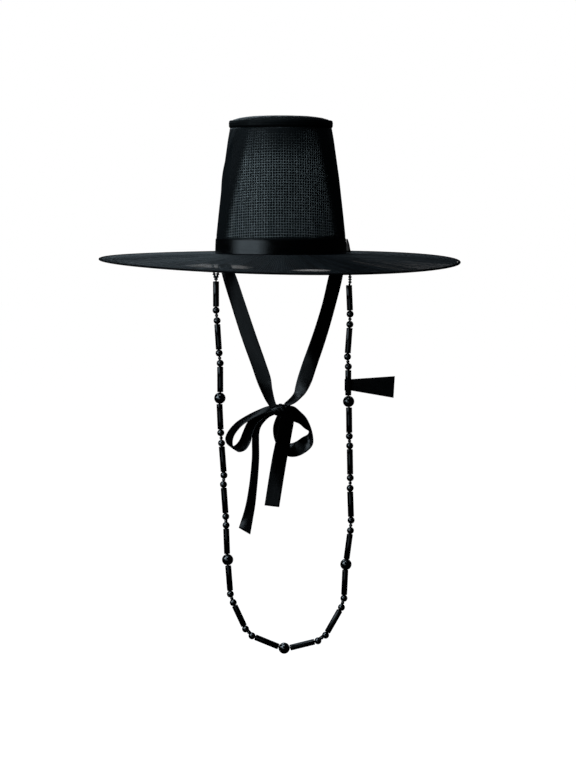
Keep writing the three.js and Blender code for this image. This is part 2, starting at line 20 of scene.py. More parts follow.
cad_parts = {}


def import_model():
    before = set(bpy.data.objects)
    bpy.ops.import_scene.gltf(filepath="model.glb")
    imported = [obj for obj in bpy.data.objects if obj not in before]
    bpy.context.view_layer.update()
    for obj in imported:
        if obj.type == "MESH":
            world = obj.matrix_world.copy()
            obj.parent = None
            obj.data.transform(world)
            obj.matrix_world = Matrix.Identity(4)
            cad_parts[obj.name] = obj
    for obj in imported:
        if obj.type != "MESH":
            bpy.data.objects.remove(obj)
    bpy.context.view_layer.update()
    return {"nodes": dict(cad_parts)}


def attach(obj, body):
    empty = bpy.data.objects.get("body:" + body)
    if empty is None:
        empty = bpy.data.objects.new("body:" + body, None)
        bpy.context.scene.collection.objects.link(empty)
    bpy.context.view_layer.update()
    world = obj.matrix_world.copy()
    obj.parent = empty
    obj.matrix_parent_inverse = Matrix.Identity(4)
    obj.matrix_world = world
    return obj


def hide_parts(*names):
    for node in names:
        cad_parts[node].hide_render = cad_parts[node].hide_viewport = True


MM = 0.001
FULL_TURN = 2.0 * math.pi
ROUND_STEPS = 160
ORIGIN = (0.0, 0.0, 0.0)
UP = (0.0, 0.0, 1.0)
# How fast the streaks' noise changes outwards, in its own units a metre
STREAK_SPREAD = 9.0
LOG = logging.getLogger("costume_hat")


class Side(Enum):
    """The two sides of the hat, as the camera sees them."""

    LEFT = "left"
    RIGHT = "right"


class Hold(Enum):
    """How a sheet of cloth is held, in the frame's words."""

    STRETCHED = "stretched"
    HUNG = "hung"
    FOLDED = "folded"


# Small tools

def srgb(code: str) -> tuple[float, float, float, float]:
    """Turns an sRGB hex colour into linear RGBA.

    Args:
        code: Six hex digits, such as "1a1c1f".

    Returns:
        Linear red, green, blue and an alpha of 1.
    """

    def channel(pair: str) -> float:
        """Returns one linear channel."""
        value = int(pair, 16) / 255.0
        return value / 12.92 if value <= 0.04045 else ((value + 0.055) / 1.055) ** 2.4

    return channel(code[0:2]), channel(code[2:4]), channel(code[4:6]), 1.0


def add_node(
    tree: bpy.types.NodeTree, kind: str, inputs: dict | None = None, **settings: object,
) -> bpy.types.Node:
    """Adds a node with its settings and links.

    Args:
        tree: The node tree to add to.
        kind: The node's type name.
        inputs: Input socket names or numbers, with a value or an output socket to link from.
        **settings: The node's own properties.

    Returns:
        The new node.
    """
    node = tree.nodes.new(kind)
    for key, value in settings.items():
        setattr(node, key, value)
    for key, value in (inputs or {}).items():
        if isinstance(value, bpy.types.NodeSocket):
            tree.links.new(value, node.inputs[key])
        else:
            node.inputs[key].default_value = value
    return node


def new_surface(name: str, inputs: dict) -> tuple[bpy.types.Material, bpy.types.NodeTree, bpy.types.Node]:
    """Makes a material with one Principled shader.

    Args:
        name: The material's name.
        inputs: The shader's plain numbers and colours.

    Returns:
        The material, its node tree and the shader node.
    """
    material = bpy.data.materials.new(name)
    material.use_nodes = True
    tree = material.node_tree
    tree.nodes.clear()
    shader = add_node(tree, "ShaderNodeBsdfPrincipled", inputs)
    add_node(tree, "ShaderNodeOutputMaterial", {"Surface": shader.outputs["BSDF"]})
    return material, tree, shader


def wave_scale(period: float) -> float:
    """Returns the Wave texture's scale for a real period in metres."""
    return math.pi / (10.0 * period)


def radial_streaks(tree: bpy.types.NodeTree, streaks: float) -> bpy.types.NodeSocket:
    """Adds noise in streaks that run away from the crown's foot, where the cloth is pulled; the finishes use
    it for gloss and bump, and for a lighter colour that partly paints sheen.

    Args:
        tree: The material's node tree.
        streaks: How fast the noise changes round the hat.

    Returns:
        The noise, from 0 to 1.
    """
    place = add_node(tree, "ShaderNodeTexCoord").outputs["Object"]
    flat = add_node(tree, "ShaderNodeVectorMath", {0: place, 1: (1.0, 1.0, 0.0)}, operation="MULTIPLY")
    turn = add_node(tree, "ShaderNodeVectorMath", {0: flat.outputs[0]}, operation="NORMALIZE")
    out = add_node(tree, "ShaderNodeVectorMath", {0: place}, operation="LENGTH")
    spread = add_node(tree, "ShaderNodeMath", {
        0: out.outputs["Value"], 1: STREAK_SPREAD,
    }, operation="MULTIPLY")
    lift = add_node(tree, "ShaderNodeCombineXYZ", {"Z": spread.outputs[0]})
    wide = add_node(tree, "ShaderNodeVectorMath", {0: turn.outputs[0], "Scale": streaks}, operation="SCALE")
    where = add_node(tree, "ShaderNodeVectorMath", {0: wide.outputs[0], 1: lift.outputs[0]}, operation="ADD")
    noise = add_node(tree, "ShaderNodeTexNoise", {"Vector": where.outputs[0], "Scale": 1.0, "Detail": 3.0})
    return noise.outputs["Fac"]


def to_piece(
    name: str, bm: bmesh.types.BMesh, material: bpy.types.Material, smooth: bool = True,
) -> bpy.types.Object:
    """Turns a bmesh into a finished object that belongs to the hat.

    Args:
        name: The piece's name.
        bm: The mesh, which is freed.
        material: Its finish.
        smooth: Whether its faces are shaded smooth.

    Returns:
        The object, riding on the hat's one body.
    """
    for face in bm.faces:
        face.smooth = smooth
    mesh = bpy.data.meshes.new(name)
    bm.to_mesh(mesh)
    bm.free()
    piece = bpy.data.objects.new(name, mesh)
    bpy.context.collection.objects.link(piece)
    piece.data.materials.append(material)
    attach(piece, "root")
    return piece


def thicken(piece: bpy.types.Object, thickness: float) -> None:
    """Gives a sheet its thickness about its middle with a Solidify modifier.

    Args:
        piece: The sheet.
        thickness: Its thickness in metres.
    """
    wall = piece.modifiers.new("cloth", "SOLIDIFY")
    wall.thickness = thickness
    wall.offset = 0.0


def true_rims(piece: bpy.types.Object) -> None:
    """Keeps a thickened ribbon's face flat up to its edge, so that no light line runs along it."""
    normals = piece.modifiers.new("true_rims", "WEIGHTED_NORMAL")
    normals.weight = 100


def spin_section(bm: bmesh.types.BMesh, points: Sequence[tuple[float, float]], closed: bool = False,
                 steps: int = ROUND_STEPS) -> None:
    """Spins a section of (radius, height) points in metres round the Z axis.

    Args:
        bm: The mesh to add to.
        points: The section, from one end to the other.
        closed: Whether the last point joins the first.
        steps: How many steps the full turn has.
    """
    verts = [bm.verts.new((r, 0.0, z)) for r, z in points]
    edges = [bm.edges.new(pair) for pair in zip(verts, verts[1:])]
    if closed:
        edges.append(bm.edges.new((verts[-1], verts[0])))
    bmesh.ops.spin(bm, geom=verts + edges, cent=ORIGIN, axis=UP, angle=FULL_TURN, steps=steps, use_merge=True)
    bmesh.ops.remove_doubles(bm, verts=bm.verts, dist=1e-6)
    bmesh.ops.recalc_face_normals(bm, faces=bm.faces)


def face_out(bm: bmesh.types.BMesh) -> None:
    """Turns an open sheet's faces over if they look towards the Z axis or down.

    Args:
        bm: The sheet's mesh.
    """
    up = Vector(UP)
    total = sum(face.normal.dot(face.calc_center_median() + up) * face.calc_area() for face in bm.faces)
    if total < 0.0:
        bmesh.ops.reverse_faces(bm, faces=bm.faces)


def lay_round_uv(bm: bmesh.types.BMesh, along: Callable[[Vector], float], radius: float) -> None:
    """Lays a UV map in metres: round the hat in U and a given distance in V.

    Args:
        bm: The mesh.
        along: The V distance of a point.
        radius: The radius at which U is a true length.
    """
    layer = bm.loops.layers.uv.new("cloth")
    for face in bm.faces:
        turns = [math.atan2(loop.vert.co.y, loop.vert.co.x) for loop in face.loops]
        if max(turns) - min(turns) > math.pi:
            turns = [turn + FULL_TURN if turn < 0.0 else turn for turn in turns]
        for loop, turn in zip(face.loops, turns):
            loop[layer].uv = (turn * radius, along(loop.vert.co))


def lay_flat_uv(bm: bmesh.types.BMesh, place: Callable[[Vector], tuple[float, float]]) -> None:
    """Lays a UV map in metres over a flat grid, before it is bent.

    Args:
        bm: The mesh.
        place: The U and V distances of a point of the grid.
    """
    layer = bm.loops.layers.uv.new("cloth")
    for face in bm.faces:
        for loop in face.loops:
            loop[layer].uv = place(loop.vert.co)


def catmull(values: Sequence[Vector], t: float) -> Vector:
    """Reads a smooth centripetal curve through points, each span an equal share of the parameter.

    Args:
        values: The points.
        t: The parameter, 0 at the first point and 1 at the last.

    Returns:
        The point on the curve.
    """
    last = len(values) - 1
    place = min(max(t, 0.0), 1.0) * last
    i = min(int(place), last - 1)
    u = place - i
    a, b = values[i], values[i + 1]
    before = values[i - 1] if i > 0 else a * 2.0 - b
    after = values[i + 2] if i + 2 <= last else b * 2.0 - a
    middle = max(math.sqrt((b - a).length), 1e-4)
    first = max(math.sqrt((a - before).length), 1e-4)
    third = max(math.sqrt((after - b).length), 1e-4)
    start = ((a - before) / first - (b - before) / (first + middle) + (b - a) / middle) * middle
    end = ((b - a) / middle - (after - a) / (middle + third) + (after - b) / third) * middle
    return (a * (2.0 * u ** 3 - 3.0 * u ** 2 + 1.0) + start * (u ** 3 - 2.0 * u ** 2 + u)
            + b * (3.0 * u ** 2 - 2.0 * u ** 3) + end * (u ** 3 - u ** 2))


@dataclass(frozen=True)
class Wave:
    """A wave round the hat: its height, how many times it comes round, and its start in radians."""

    height: float
    count: float
    start: float = 0.0

    def at(self, turn: float) -> float:
        """Returns the wave's height at an angle round, in radians."""
        return self.height * math.sin(self.count * turn + self.start)


def bell(distance: float, width: float) -> float:
    """Returns 1 at distance 0, falling smoothly to 0 over about twice the width."""
    return math.exp(-((distance / width) ** 2))


# Finishes

@dataclass(frozen=True)
class Organza:
    """Polyester organza, plain woven from fine bright filament: sheer and crisp, its gloss in streaks, with a
    lighter colour in the glossier streaks that partly paints their sheen.
    """

    name: str
    dark: str
    light: str
    alpha: float
    roughness: float
    specular: float
    streaks: float
    streak_bump: float
    doubled_alpha: float | None = None
    weave_pitch: float = 1.1 * MM
    weave_height: float = 0.05

    def make(self) -> bpy.types.Material:
        """Makes the material, streaky where the cloth is pulled, its lighter streaks partly painted sheen,
        and closed where its plies double.

        Returns:
            The material.
        """
        material, tree, shader = new_surface(self.name, {
            "Alpha": self.alpha,
            "Specular IOR Level": self.specular,
        })
        noise = radial_streaks(tree, self.streaks)
        # Lighter colour in the glossier streaks: partly the cloth's own tone, partly painted sheen; roughness
        # and bump follow the same streaks.
        mix = add_node(tree, "ShaderNodeMix", {
            "Factor": noise, "A": srgb(self.dark), "B": srgb(self.light),
        }, data_type="RGBA")
        links = {"Base Color": mix.outputs[2]}
        rough = add_node(tree, "ShaderNodeMapRange", {
            "Value": noise, "From Min": 0.3, "From Max": 0.7,
            "To Min": self.roughness + 0.12, "To Max": self.roughness - 0.08,
        })
        links["Roughness"] = rough.outputs[0]
        weave = self.weave(tree)
        height = add_node(tree, "ShaderNodeMath", {0: noise, 1: self.streak_bump, 2: weave},
                          operation="MULTIPLY_ADD")
        bump = add_node(tree, "ShaderNodeBump", {
            "Height": height.outputs[0], "Strength": 0.5, "Distance": 0.6 * MM,
        })
        links["Normal"] = bump.outputs[0]
        if self.doubled_alpha is not None:
            plies = add_node(tree, "ShaderNodeAttribute", attribute_name="plies").outputs["Fac"]
            alpha = add_node(tree, "ShaderNodeMapRange", {
                "Value": plies, "To Min": self.alpha, "To Max": self.doubled_alpha,
            })
            links["Alpha"] = alpha.outputs[0]
        for key, socket in links.items():
            tree.links.new(socket, shader.inputs[key])
        return material

    def weave(self, tree: bpy.types.NodeTree) -> bpy.types.NodeSocket:
        """Adds the plain weave; real filaments lie 0.2 mm apart, and 1.1 mm is the finest that shows.

        Args:
            tree: The material's node tree.

        Returns:
            The weave's height, from 0 to about 0.1.
        """
        cloth = add_node(tree, "ShaderNodeUVMap", uv_map="cloth").outputs[0]
        scale = wave_scale(self.weave_pitch)
        warp = add_node(tree, "ShaderNodeTexWave", {"Vector": cloth, "Scale": scale}, bands_direction="X")
        weft = add_node(tree, "ShaderNodeTexWave", {"Vector": cloth, "Scale": scale}, bands_direction="Y")
        both = add_node(tree, "ShaderNodeMath", {
            0: warp.outputs["Fac"], 1: weft.outputs["Fac"],
        }, operation="ADD")
        low = add_node(tree, "ShaderNodeMath", {
            0: both.outputs[0], 1: self.weave_height,
        }, operation="MULTIPLY")
        return low.outputs[0]


@dataclass(frozen=True)
class Satin:
    """Polyester satin ribbon: long floats give a smooth face with a soft gloss along its length."""

    name: str
    dark: str
    light: str
    roughness: float
    specular: float
    alpha: float = 1.0

    def make(self) -> bpy.types.Material:
        """Makes the material, with cross threads 0.8 mm apart and its gloss in clouds of 2.4 mm by 17 mm.

        Returns:
            The material.
        """
        material, tree, shader = new_surface(self.name, {
            "Alpha": self.alpha,
            "Specular IOR Level": self.specular,
            "Anisotropic": 0.4,
            "Sheen Weight": 0.02,
            "Sheen Roughness": 0.3,
        })
        cloth = add_node(tree, "ShaderNodeUVMap", uv_map="cloth").outputs[0]
        stretch = add_node(tree, "ShaderNodeMapping", {"Vector": cloth, "Scale": (420.0, 60.0, 1.0)})
        cloud = add_node(tree, "ShaderNodeTexNoise", {
            "Vector": stretch.outputs[0], "Scale": 1.0, "Detail": 2.0,
        })
        mix = add_node(tree, "ShaderNodeMix", {
            "Factor": cloud.outputs["Fac"], "A": srgb(self.dark), "B": srgb(self.light),
        }, data_type="RGBA")
        rough = add_node(tree, "ShaderNodeMapRange", {
            "Value": cloud.outputs["Fac"], "From Min": 0.3, "From Max": 0.7,
            "To Min": self.roughness - 0.05, "To Max": self.roughness + 0.07,
        })
        threads = add_node(tree, "ShaderNodeTexWave", {
            "Vector": cloth, "Scale": wave_scale(0.8 * MM), "Distortion": 0.6,
        }, bands_direction="Y")
        bump = add_node(tree, "ShaderNodeBump", {
            "Height": threads.outputs["Fac"], "Strength": 0.12, "Distance": 0.2 * MM,
        })
        tree.links.new(mix.outputs[2], shader.inputs["Base Color"])
        tree.links.new(rough.outputs[0], shader.inputs["Roughness"])
        tree.links.new(bump.outputs[0], shader.inputs["Normal"])
        return material


@dataclass(frozen=True)
class Binding:
    """Bias binding folded over wire: matt cotton with a fine slanted rib."""

    name: str = "black_bias_binding"
    dark: str = "020203"
    light: str = "0a0c0e"

    def make(self) -> bpy.types.Material:
        """Makes the material; its rib is 1.2 mm wide, the finest that shows.

        Returns:
            The material.
        """
        material, tree, shader = new_surface(self.name, {"Roughness": 0.8, "Specular IOR Level": 0.08})
        place = add_node(tree, "ShaderNodeTexCoord").outputs["Object"]
        rib = add_node(tree, "ShaderNodeTexWave", {
            "Vector": place, "Scale": wave_scale(1.2 * MM), "Distortion": 1.5, "Detail": 2.0,
        }, bands_direction="DIAGONAL")
        mix = add_node(tree, "ShaderNodeMix", {
            "Factor": rib.outputs["Fac"], "A": srgb(self.dark), "B": srgb(self.light),
        }, data_type="RGBA")
        bump = add_node(tree, "ShaderNodeBump", {
            "Height": rib.outputs["Fac"], "Strength": 0.3, "Distance": 0.3 * MM,
        })
        tree.links.new(mix.outputs[2], shader.inputs["Base Color"])
        tree.links.new(bump.outputs[0], shader.inputs["Normal"])
        return material


@dataclass(frozen=True)
class NetThread:
    """Stiff nylon thread, glossy and round: the crown's is given a pale colour that partly paints the sheen
    of its glossy thread, and it reads grey through the dark cover.
    """

    name: str = "nylon_net_thread_painted_sheen"
    # Pale colours that partly paint the sheen of the crown's glossy net thread.
    dark: str = "b2bcbb"
    light: str = "f0f6f4"
    roughness: float = 0.4
    streaks: float = 18.0

    def make(self) -> bpy.types.Material:
        """Makes the material, its brightness drifting in streaks along the pull of the cloth, partly the
        thread's own tone and partly painted sheen.

        Returns:
            The material.
        """
        material, tree, shader = new_surface(self.name, {
            "Roughness": self.roughness, "Specular IOR Level": 0.5,
        })
        # Lighter colour in streaks: partly random tone of the thread, partly painted sheen like that of the
        # rippled cloth.
        drift = add_node(tree, "ShaderNodeMapRange", {
            "Value": radial_streaks(tree, self.streaks), "From Min": 0.35, "From Max": 0.65,
        })
        mix = add_node(tree, "ShaderNodeMix", {
            "Factor": drift.outputs[0], "A": srgb(self.dark), "B": srgb(self.light),
        }, data_type="RGBA")
        tree.links.new(mix.outputs[2], shader.inputs["Base Color"])
        return material


@dataclass(frozen=True)
class JetBead:
    """Moulded black plastic, barrel polished: deep gloss with the faintest orange peel."""

    name: str
    specular: float
    coat: float
    roughness: float
    colour: str = "020203"

    def make(self) -> bpy.types.Material:
        """Makes the material, a little less glossy in places where beads rub on each other.

        Returns:
            The material.
        """
        material, tree, shader = new_surface(self.name, {
            "Base Color": srgb(self.colour),
            "Specular IOR Level": self.specular,
            "Coat Weight": self.coat,
            "Coat Roughness": 0.04,
            "Coat IOR": 1.9,
        })
        place = add_node(tree, "ShaderNodeTexCoord").outputs["Object"]
        peel = add_node(tree, "ShaderNodeTexNoise", {"Vector": place, "Scale": 900.0, "Detail": 1.0})
        wear = add_node(tree, "ShaderNodeTexNoise", {"Vector": place, "Scale": 160.0, "Detail": 3.0})
        rough = add_node(tree, "ShaderNodeMapRange", {
            "Value": wear.outputs["Fac"], "From Min": 0.3, "From Max": 0.7,
            "To Min": self.roughness, "To Max": self.roughness + 0.04,
        })
        bump = add_node(tree, "ShaderNodeBump", {
            "Height": peel.outputs["Fac"], "Strength": 0.02, "Distance": 0.1 * MM,
        })
        tree.links.new(rough.outputs[0], shader.inputs["Roughness"])
        tree.links.new(bump.outputs[0], shader.inputs["Normal"])
        return material


@dataclass(frozen=True)
class CottonThread:
    """Twisted black sewing thread, matt and slightly hairy."""

    name: str = "black_sewing_thread"
    dark: str = "08090a"
    light: str = "1d2023"

    def make(self) -> bpy.types.Material:
        """Makes the material, with a twist every 0.9 mm.

        Returns:
            The material.
        """
        material, tree, shader = new_surface(self.name, {"Roughness": 0.75, "Specular IOR Level": 0.25})
        place = add_node(tree, "ShaderNodeTexCoord").outputs["Object"]
        twist = add_node(tree, "ShaderNodeTexWave", {"Vector": place, "Scale": wave_scale(0.9 * MM)},
                         bands_direction="DIAGONAL")
        mix = add_node(tree, "ShaderNodeMix", {
            "Factor": twist.outputs["Fac"], "A": srgb(self.dark), "B": srgb(self.light),
        }, data_type="RGBA")
        tree.links.new(mix.outputs[2], shader.inputs["Base Color"])
        return material


@dataclass(frozen=True)
class PaleGround:
    """Smooth pale studio floor with an even glow of its own, like a light table."""

    name: str = "pale_studio_floor"
    colour: str = "b8b8b8"
    glow: float = 1.0

    def make(self) -> bpy.types.Material:
        """Returns the material."""
        return new_surface(self.name, {
            "Base Color": srgb(self.colour), "Roughness": 0.9, "Specular IOR Level": 0.0,
            "Emission Color": (1.0, 1.0, 1.0, 1.0), "Emission Strength": self.glow,
        })[0]


@dataclass
class Finishes:
    """Every finish of the hat, made once."""

    cover: bpy.types.Material = field(default_factory=lambda: Organza(
        "crown_organza", "07090a", "151b1e", alpha=0.27, roughness=0.46, specular=0.2,
        streaks=7.0, streak_bump=0.6, doubled_alpha=0.86).make())
    crown_top: bpy.types.Material = field(default_factory=lambda: Organza(
        "crown_top_organza", "040506", "0e1214", alpha=0.72, roughness=0.5, specular=0.15,
        streaks=7.0, streak_bump=0.5).make())
    lining: bpy.types.Material = field(default_factory=lambda: Organza(
        "crown_lining", "020202", "07090a", alpha=0.9, roughness=0.6, specular=0.15,
        streaks=7.0, streak_bump=0.4).make())
    brim: bpy.types.Material = field(default_factory=lambda: Organza(
        "brim_organza", "050708", "14191c", alpha=0.5, roughness=0.34, specular=0.3,
        streaks=34.0, streak_bump=0.9).make())
    hem: bpy.types.Material = field(default_factory=lambda: Organza(
        "folded_organza_hem", "020303", "0a0e10", alpha=0.98, roughness=0.5, specular=0.12,
        streaks=16.0, streak_bump=0.8).make())
    # The crown net's pale colour partly paints the sheen of its thread.
    net: bpy.types.Material = field(default_factory=lambda: NetThread().make())
    # The brim yarns' lighter streaks partly paint the brim's streaky sheen.
    yarn: bpy.types.Material = field(default_factory=lambda: NetThread(
        "stiff_brim_yarn", "0a0c0e", "20262a", roughness=0.5, streaks=26.0).make())
    satin: bpy.types.Material = field(default_factory=lambda: Satin(
        "black_satin_ribbon", "020203", "060708", roughness=0.18, specular=0.5).make())
    thin_satin: bpy.types.Material = field(default_factory=lambda: Satin(
        "thin_ribbon_end", "050607", "0c0e10", roughness=0.3, specular=0.4, alpha=0.85).make())
    binding: bpy.types.Material = field(default_factory=lambda: Binding().make())
    tube_bead: bpy.types.Material = field(default_factory=lambda: JetBead(
        "black_tube_bead", specular=0.65, coat=0.0, roughness=0.08).make())
    round_bead: bpy.types.Material = field(default_factory=lambda: JetBead(
        "polished_round_bead", specular=1.0, coat=1.0, roughness=0.05).make())
    thread: bpy.types.Material = field(default_factory=lambda: CottonThread().make())
    label: bpy.types.Material = field(default_factory=lambda: Satin(
        "black_label_tape", "030304", "08090b", roughness=0.6, specular=0.2).make())


# Crown

@dataclass(frozen=True)
class SectionPoint:
    """A point of a turned section, in millimetres."""

    z: float
    r: float


CROWN_PROFILE = (
    SectionPoint(z=0.0, r=82.8),
    SectionPoint(z=24.0, r=82.0),
    SectionPoint(z=50.0, r=79.3),
    SectionPoint(z=96.0, r=74.1),
    SectionPoint(z=145.0, r=67.1),
    SectionPoint(z=158.9, r=64.6),
)


def crown_radius(z: float) -> float:
    """Reads the crown's profile, which is straight between its points.

    Args:
        z: Height in metres.

    Returns:
        The crown's outer radius in metres.
    """
    height = z / MM
    points = CROWN_PROFILE
    if height <= points[0].z:
        return points[0].r * MM
    for a, b in zip(points, points[1:]):
        if height <= b.z:
            return (a.r + (b.r - a.r) * (height - a.z) / (b.z - a.z)) * MM
    return points[-1].r * MM


@dataclass
class Crown:
    """The tall crown: square net inside, a sheer cover over it and a wrapped lip at its top.

    The fold's ends are degrees round and a height in millimetres. The window is the front part where the
    cover is a single ply: degrees round of its edges, at the foot and at the top. The heights of the hems
    and of the gathering, and their fades, are in millimetres.
    """

    finishes: Finishes
    height: float = 158.9 * MM
    net_pitch_round: float = 3.28 * MM
    net_pitch_up: float = 3.38 * MM
    net_open: float = 0.80
    net_inset: float = 1.6 * MM
    net_thread: float = 0.45 * MM
    net_foot: float = 1.0 * MM
    net_head: float = 158.0 * MM
    cloth: float = 0.3 * MM
    row_step: float = 2.0 * MM
    lining_gap: float = 0.6 * MM
    lining_foot: float = 0.6 * MM
    lining_head: float = 158.5 * MM
    lining_rows: int = 12
    lining_steps: int = 96
    fold_height: float = 1.3 * MM
    fold_width: float = 6.5 * MM
    fold_top: tuple[float, float] = (-53.0, 165.0)
    fold_foot: tuple[float, float] = (-86.0, 96.0)
    fold_end: float = 1.35
    fold_fade: float = 0.5
    window_left: tuple[float, float] = (-52.0, -29.0)
    window_right: tuple[float, float] = (52.0, 34.0)
    window_fade: float = 15.0
    window_curve: float = 1.5
    top_hem: float = 154.0
    top_hem_waves: tuple[Wave, ...] = (Wave(4.0, 4.0, -0.5 * math.pi), Wave(1.3, 13.0, 0.5))
    top_hem_fade: float = 2.5
    top_hem_share: float = 0.8
    foot_hem: float = 22.0
    foot_hem_waves: tuple[Wave, ...] = (Wave(1.3, 1.0, 0.4), Wave(0.4, 9.0))
    foot_hem_fade: float = 1.5
    gather_low: float = 118.0
    gather: float = 0.62
    gather_wave: Wave = Wave(0.22, 7.0, 1.0)
    dome: tuple[SectionPoint, ...] = (
        SectionPoint(z=174.6, r=0.0),
        SectionPoint(z=174.5, r=14.0),
        SectionPoint(z=174.4, r=25.0),
        SectionPoint(z=173.8, r=38.0),
        SectionPoint(z=172.9, r=46.0),
        SectionPoint(z=171.8, r=53.0),
        SectionPoint(z=169.7, r=60.2),
        SectionPoint(z=168.0, r=61.0),
        SectionPoint(z=163.6, r=61.0),
    )
    top_flat_radius: float = 66.0 * MM
    top_uv_radius: float = 40.0 * MM
    top_net_radius: float = 60.0 * MM
    lip_sides: int = 56
    lip_radius: float = 63.7 * MM
    lip_height: float = 163.9 * MM
    lip_half_width: float = 2.3 * MM
    lip_half_height: float = 4.6 * MM
    lip_ridges: float = 3.3 * MM
    ridge_depth: float = 0.1 * MM
    lip_flatness: float = 0.45

    def build(self) -> None:
        """Builds the cover, the net, the lining behind it, the top and the lip."""
        self.cover()
        self.net()
        self.lining()
        self.top()
        self.top_net()
        self.lip()

    def fold_lift(self, turn: float, z: float) -> float:
        """Returns how far a soft fold lifts the cover at a place.

        Args:
            turn: Degrees round from the front, negative to the camera's left.
            z: Height in metres.

        Returns:
            The lift in metres, none past the fold's lower end.
        """
        (turn_a, z_a), (turn_b, z_b) = self.fold_top, self.fold_foot
        share = (z_a - z / MM) / (z_a - z_b)
        if share > self.fold_end:
            return 0.0
        middle = turn_a + (turn_b - turn_a) * share
        away = math.radians(turn - middle) * crown_radius(z)
        fade = min(1.0, max(0.0, (self.fold_end - share) / self.fold_fade))
        return self.fold_height * fade * bell(away, self.fold_width)

    def plies(self, turn: float, z: float) -> float:
        """Returns how far the cover is closed, 0 to 1: at its sides and back, at its hems and under the lip.

        Args:
            turn: Degrees round from the front, negative to the camera's left.
            z: Height in metres.

        Returns:
            The share, 0 where the cover is one ply and 1 where it is closed.
        """
        high = z / MM
        share = (max(z, 0.0) / self.height) ** self.window_curve
        left = self.window_left[0] + (self.window_left[1] - self.window_left[0]) * share
        right = self.window_right[0] + (self.window_right[1] - self.window_right[0]) * share
        past_left = (left - turn) / self.window_fade
        past_right = (turn - right) / self.window_fade
        side = min(1.0, max(0.0, past_left, past_right))
        angle = math.radians(turn)
        hem_edge = self.top_hem + sum(wave.at(angle) for wave in self.top_hem_waves)
        hem = min(1.0, max(0.0, (high - hem_edge) / self.top_hem_fade))
        foot_edge = self.foot_hem + sum(wave.at(angle) for wave in self.foot_hem_waves)
        foot = min(1.0, max(0.0, (foot_edge - high) / self.foot_hem_fade))
        risen = max(0.0, high - self.gather_low) / (self.height / MM - self.gather_low)
        gathered = self.gather * risen * (1.0 + self.gather_wave.at(angle))
        return max(side * side * (3.0 - 2.0 * side), self.top_hem_share * hem, foot, gathered)

    def cover(self) -> None:
        """Builds the sheer cover with the soft fold at its front left."""
        rows = max(2, round(self.height / self.row_step))
        heights = [self.height * i / rows for i in range(rows + 1)]
        bm = bmesh.new()
        spin_section(bm, [(crown_radius(z) - 0.5 * self.cloth, z) for z in heights])
        plies = bm.verts.layers.float.new("plies")
        for vert in bm.verts:
            turn = math.degrees(math.atan2(vert.co.x, -vert.co.y))
            vert[plies] = self.plies(turn, vert.co.z)
            lift = self.fold_lift(turn, vert.co.z)
            out = Vector((vert.co.x, vert.co.y, 0.0)).normalized()
            vert.co += out * lift
        face_out(bm)
        lay_round_uv(bm, lambda co: co.z, crown_radius(0.5 * self.height))
        piece = to_piece("crown_cover", bm, self.finishes.cover)
        thicken(piece, self.cloth)
        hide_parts("crown_side")

    def net(self) -> None:
        """Builds the square net: a flat grid rolled into the cone, so its rows sink towards the back."""
        foot_r = crown_radius(0.0) - self.net_inset
        top_r = crown_radius(self.height) - self.net_inset
        slant = math.hypot(foot_r - top_r, self.height)
        sine = (foot_r - top_r) / slant
        reach = foot_r / sine
        half_angle = math.pi * sine
        half_width = reach * math.sin(half_angle)
        high = -(reach - slant) * math.cos(half_angle)
        low = -reach
        columns = 2 * round(half_width / self.net_pitch_round)
        rows = round((high - low) / self.net_pitch_up)
        bm = bmesh.new()
        bmesh.ops.create_grid(bm, x_segments=columns, y_segments=rows, size=1.0)
        for vert in bm.verts:
            up = 0.5 * (low + high) + 0.5 * vert.co.y * (high - low)
            vert.co = Vector((vert.co.x * half_width, up, 0.0))
        gone = [
            face for face in bm.faces
            if not self.on_flat_cone(face.calc_center_median(), reach, slant, half_angle)
        ]
        bmesh.ops.delete(bm, geom=gone, context="FACES")
        self.open_cells(bm)
        for vert in bm.verts:
            far = math.hypot(vert.co.x, vert.co.y)
            turn = math.atan2(vert.co.x, -vert.co.y) / sine
            z = (reach - far) * self.height / slant
            r = crown_radius(max(z, 0.0)) - self.net_inset
            vert.co = Vector((r * math.sin(turn), -r * math.cos(turn), z))
        for level, way in ((self.net_foot, -1.0), (self.net_head, 1.0)):
            bmesh.ops.bisect_plane(bm, geom=[*bm.verts, *bm.edges, *bm.faces],
                                   plane_co=(0.0, 0.0, level), plane_no=(0.0, 0.0, way), clear_outer=True)
        face_out(bm)
        piece = to_piece("crown_net_mesh", bm, self.finishes.net, smooth=False)
        thicken(piece, self.net_thread)
        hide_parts("crown_net")

    def lining(self) -> None:
        """Builds the ply behind the net, which keeps the background from showing through the crown."""
        inset = self.net_inset + self.lining_gap
        step = (self.lining_head - self.lining_foot) / self.lining_rows
        heights = [self.lining_foot + step * i for i in range(self.lining_rows + 1)]
        bm = bmesh.new()
        spin_section(bm, [(crown_radius(z) - inset, z) for z in heights], steps=self.lining_steps)
        face_out(bm)
        lay_round_uv(bm, lambda co: co.z, crown_radius(0.5 * self.height))
        piece = to_piece("crown_lining", bm, self.finishes.lining)
        thicken(piece, self.cloth)

    def on_flat_cone(self, middle: Vector, reach: float, slant: float, half_angle: float) -> bool:
        """Tells whether a cell of the flat grid lies on the cone's flat pattern.

        Args:
            middle: The cell's middle.
            reach: The pattern's outer radius.
            slant: The pattern's height.
            half_angle: Half of the angle that the pattern fills.

        Returns:
            Whether it does, with two rows to spare at the foot and the top.
        """
        far = math.hypot(middle.x, middle.y)
        slack = 2.0 * self.net_pitch_up
        is_near = reach - slant - slack < far < reach + slack
        return is_near and abs(math.atan2(middle.x, -middle.y)) < half_angle

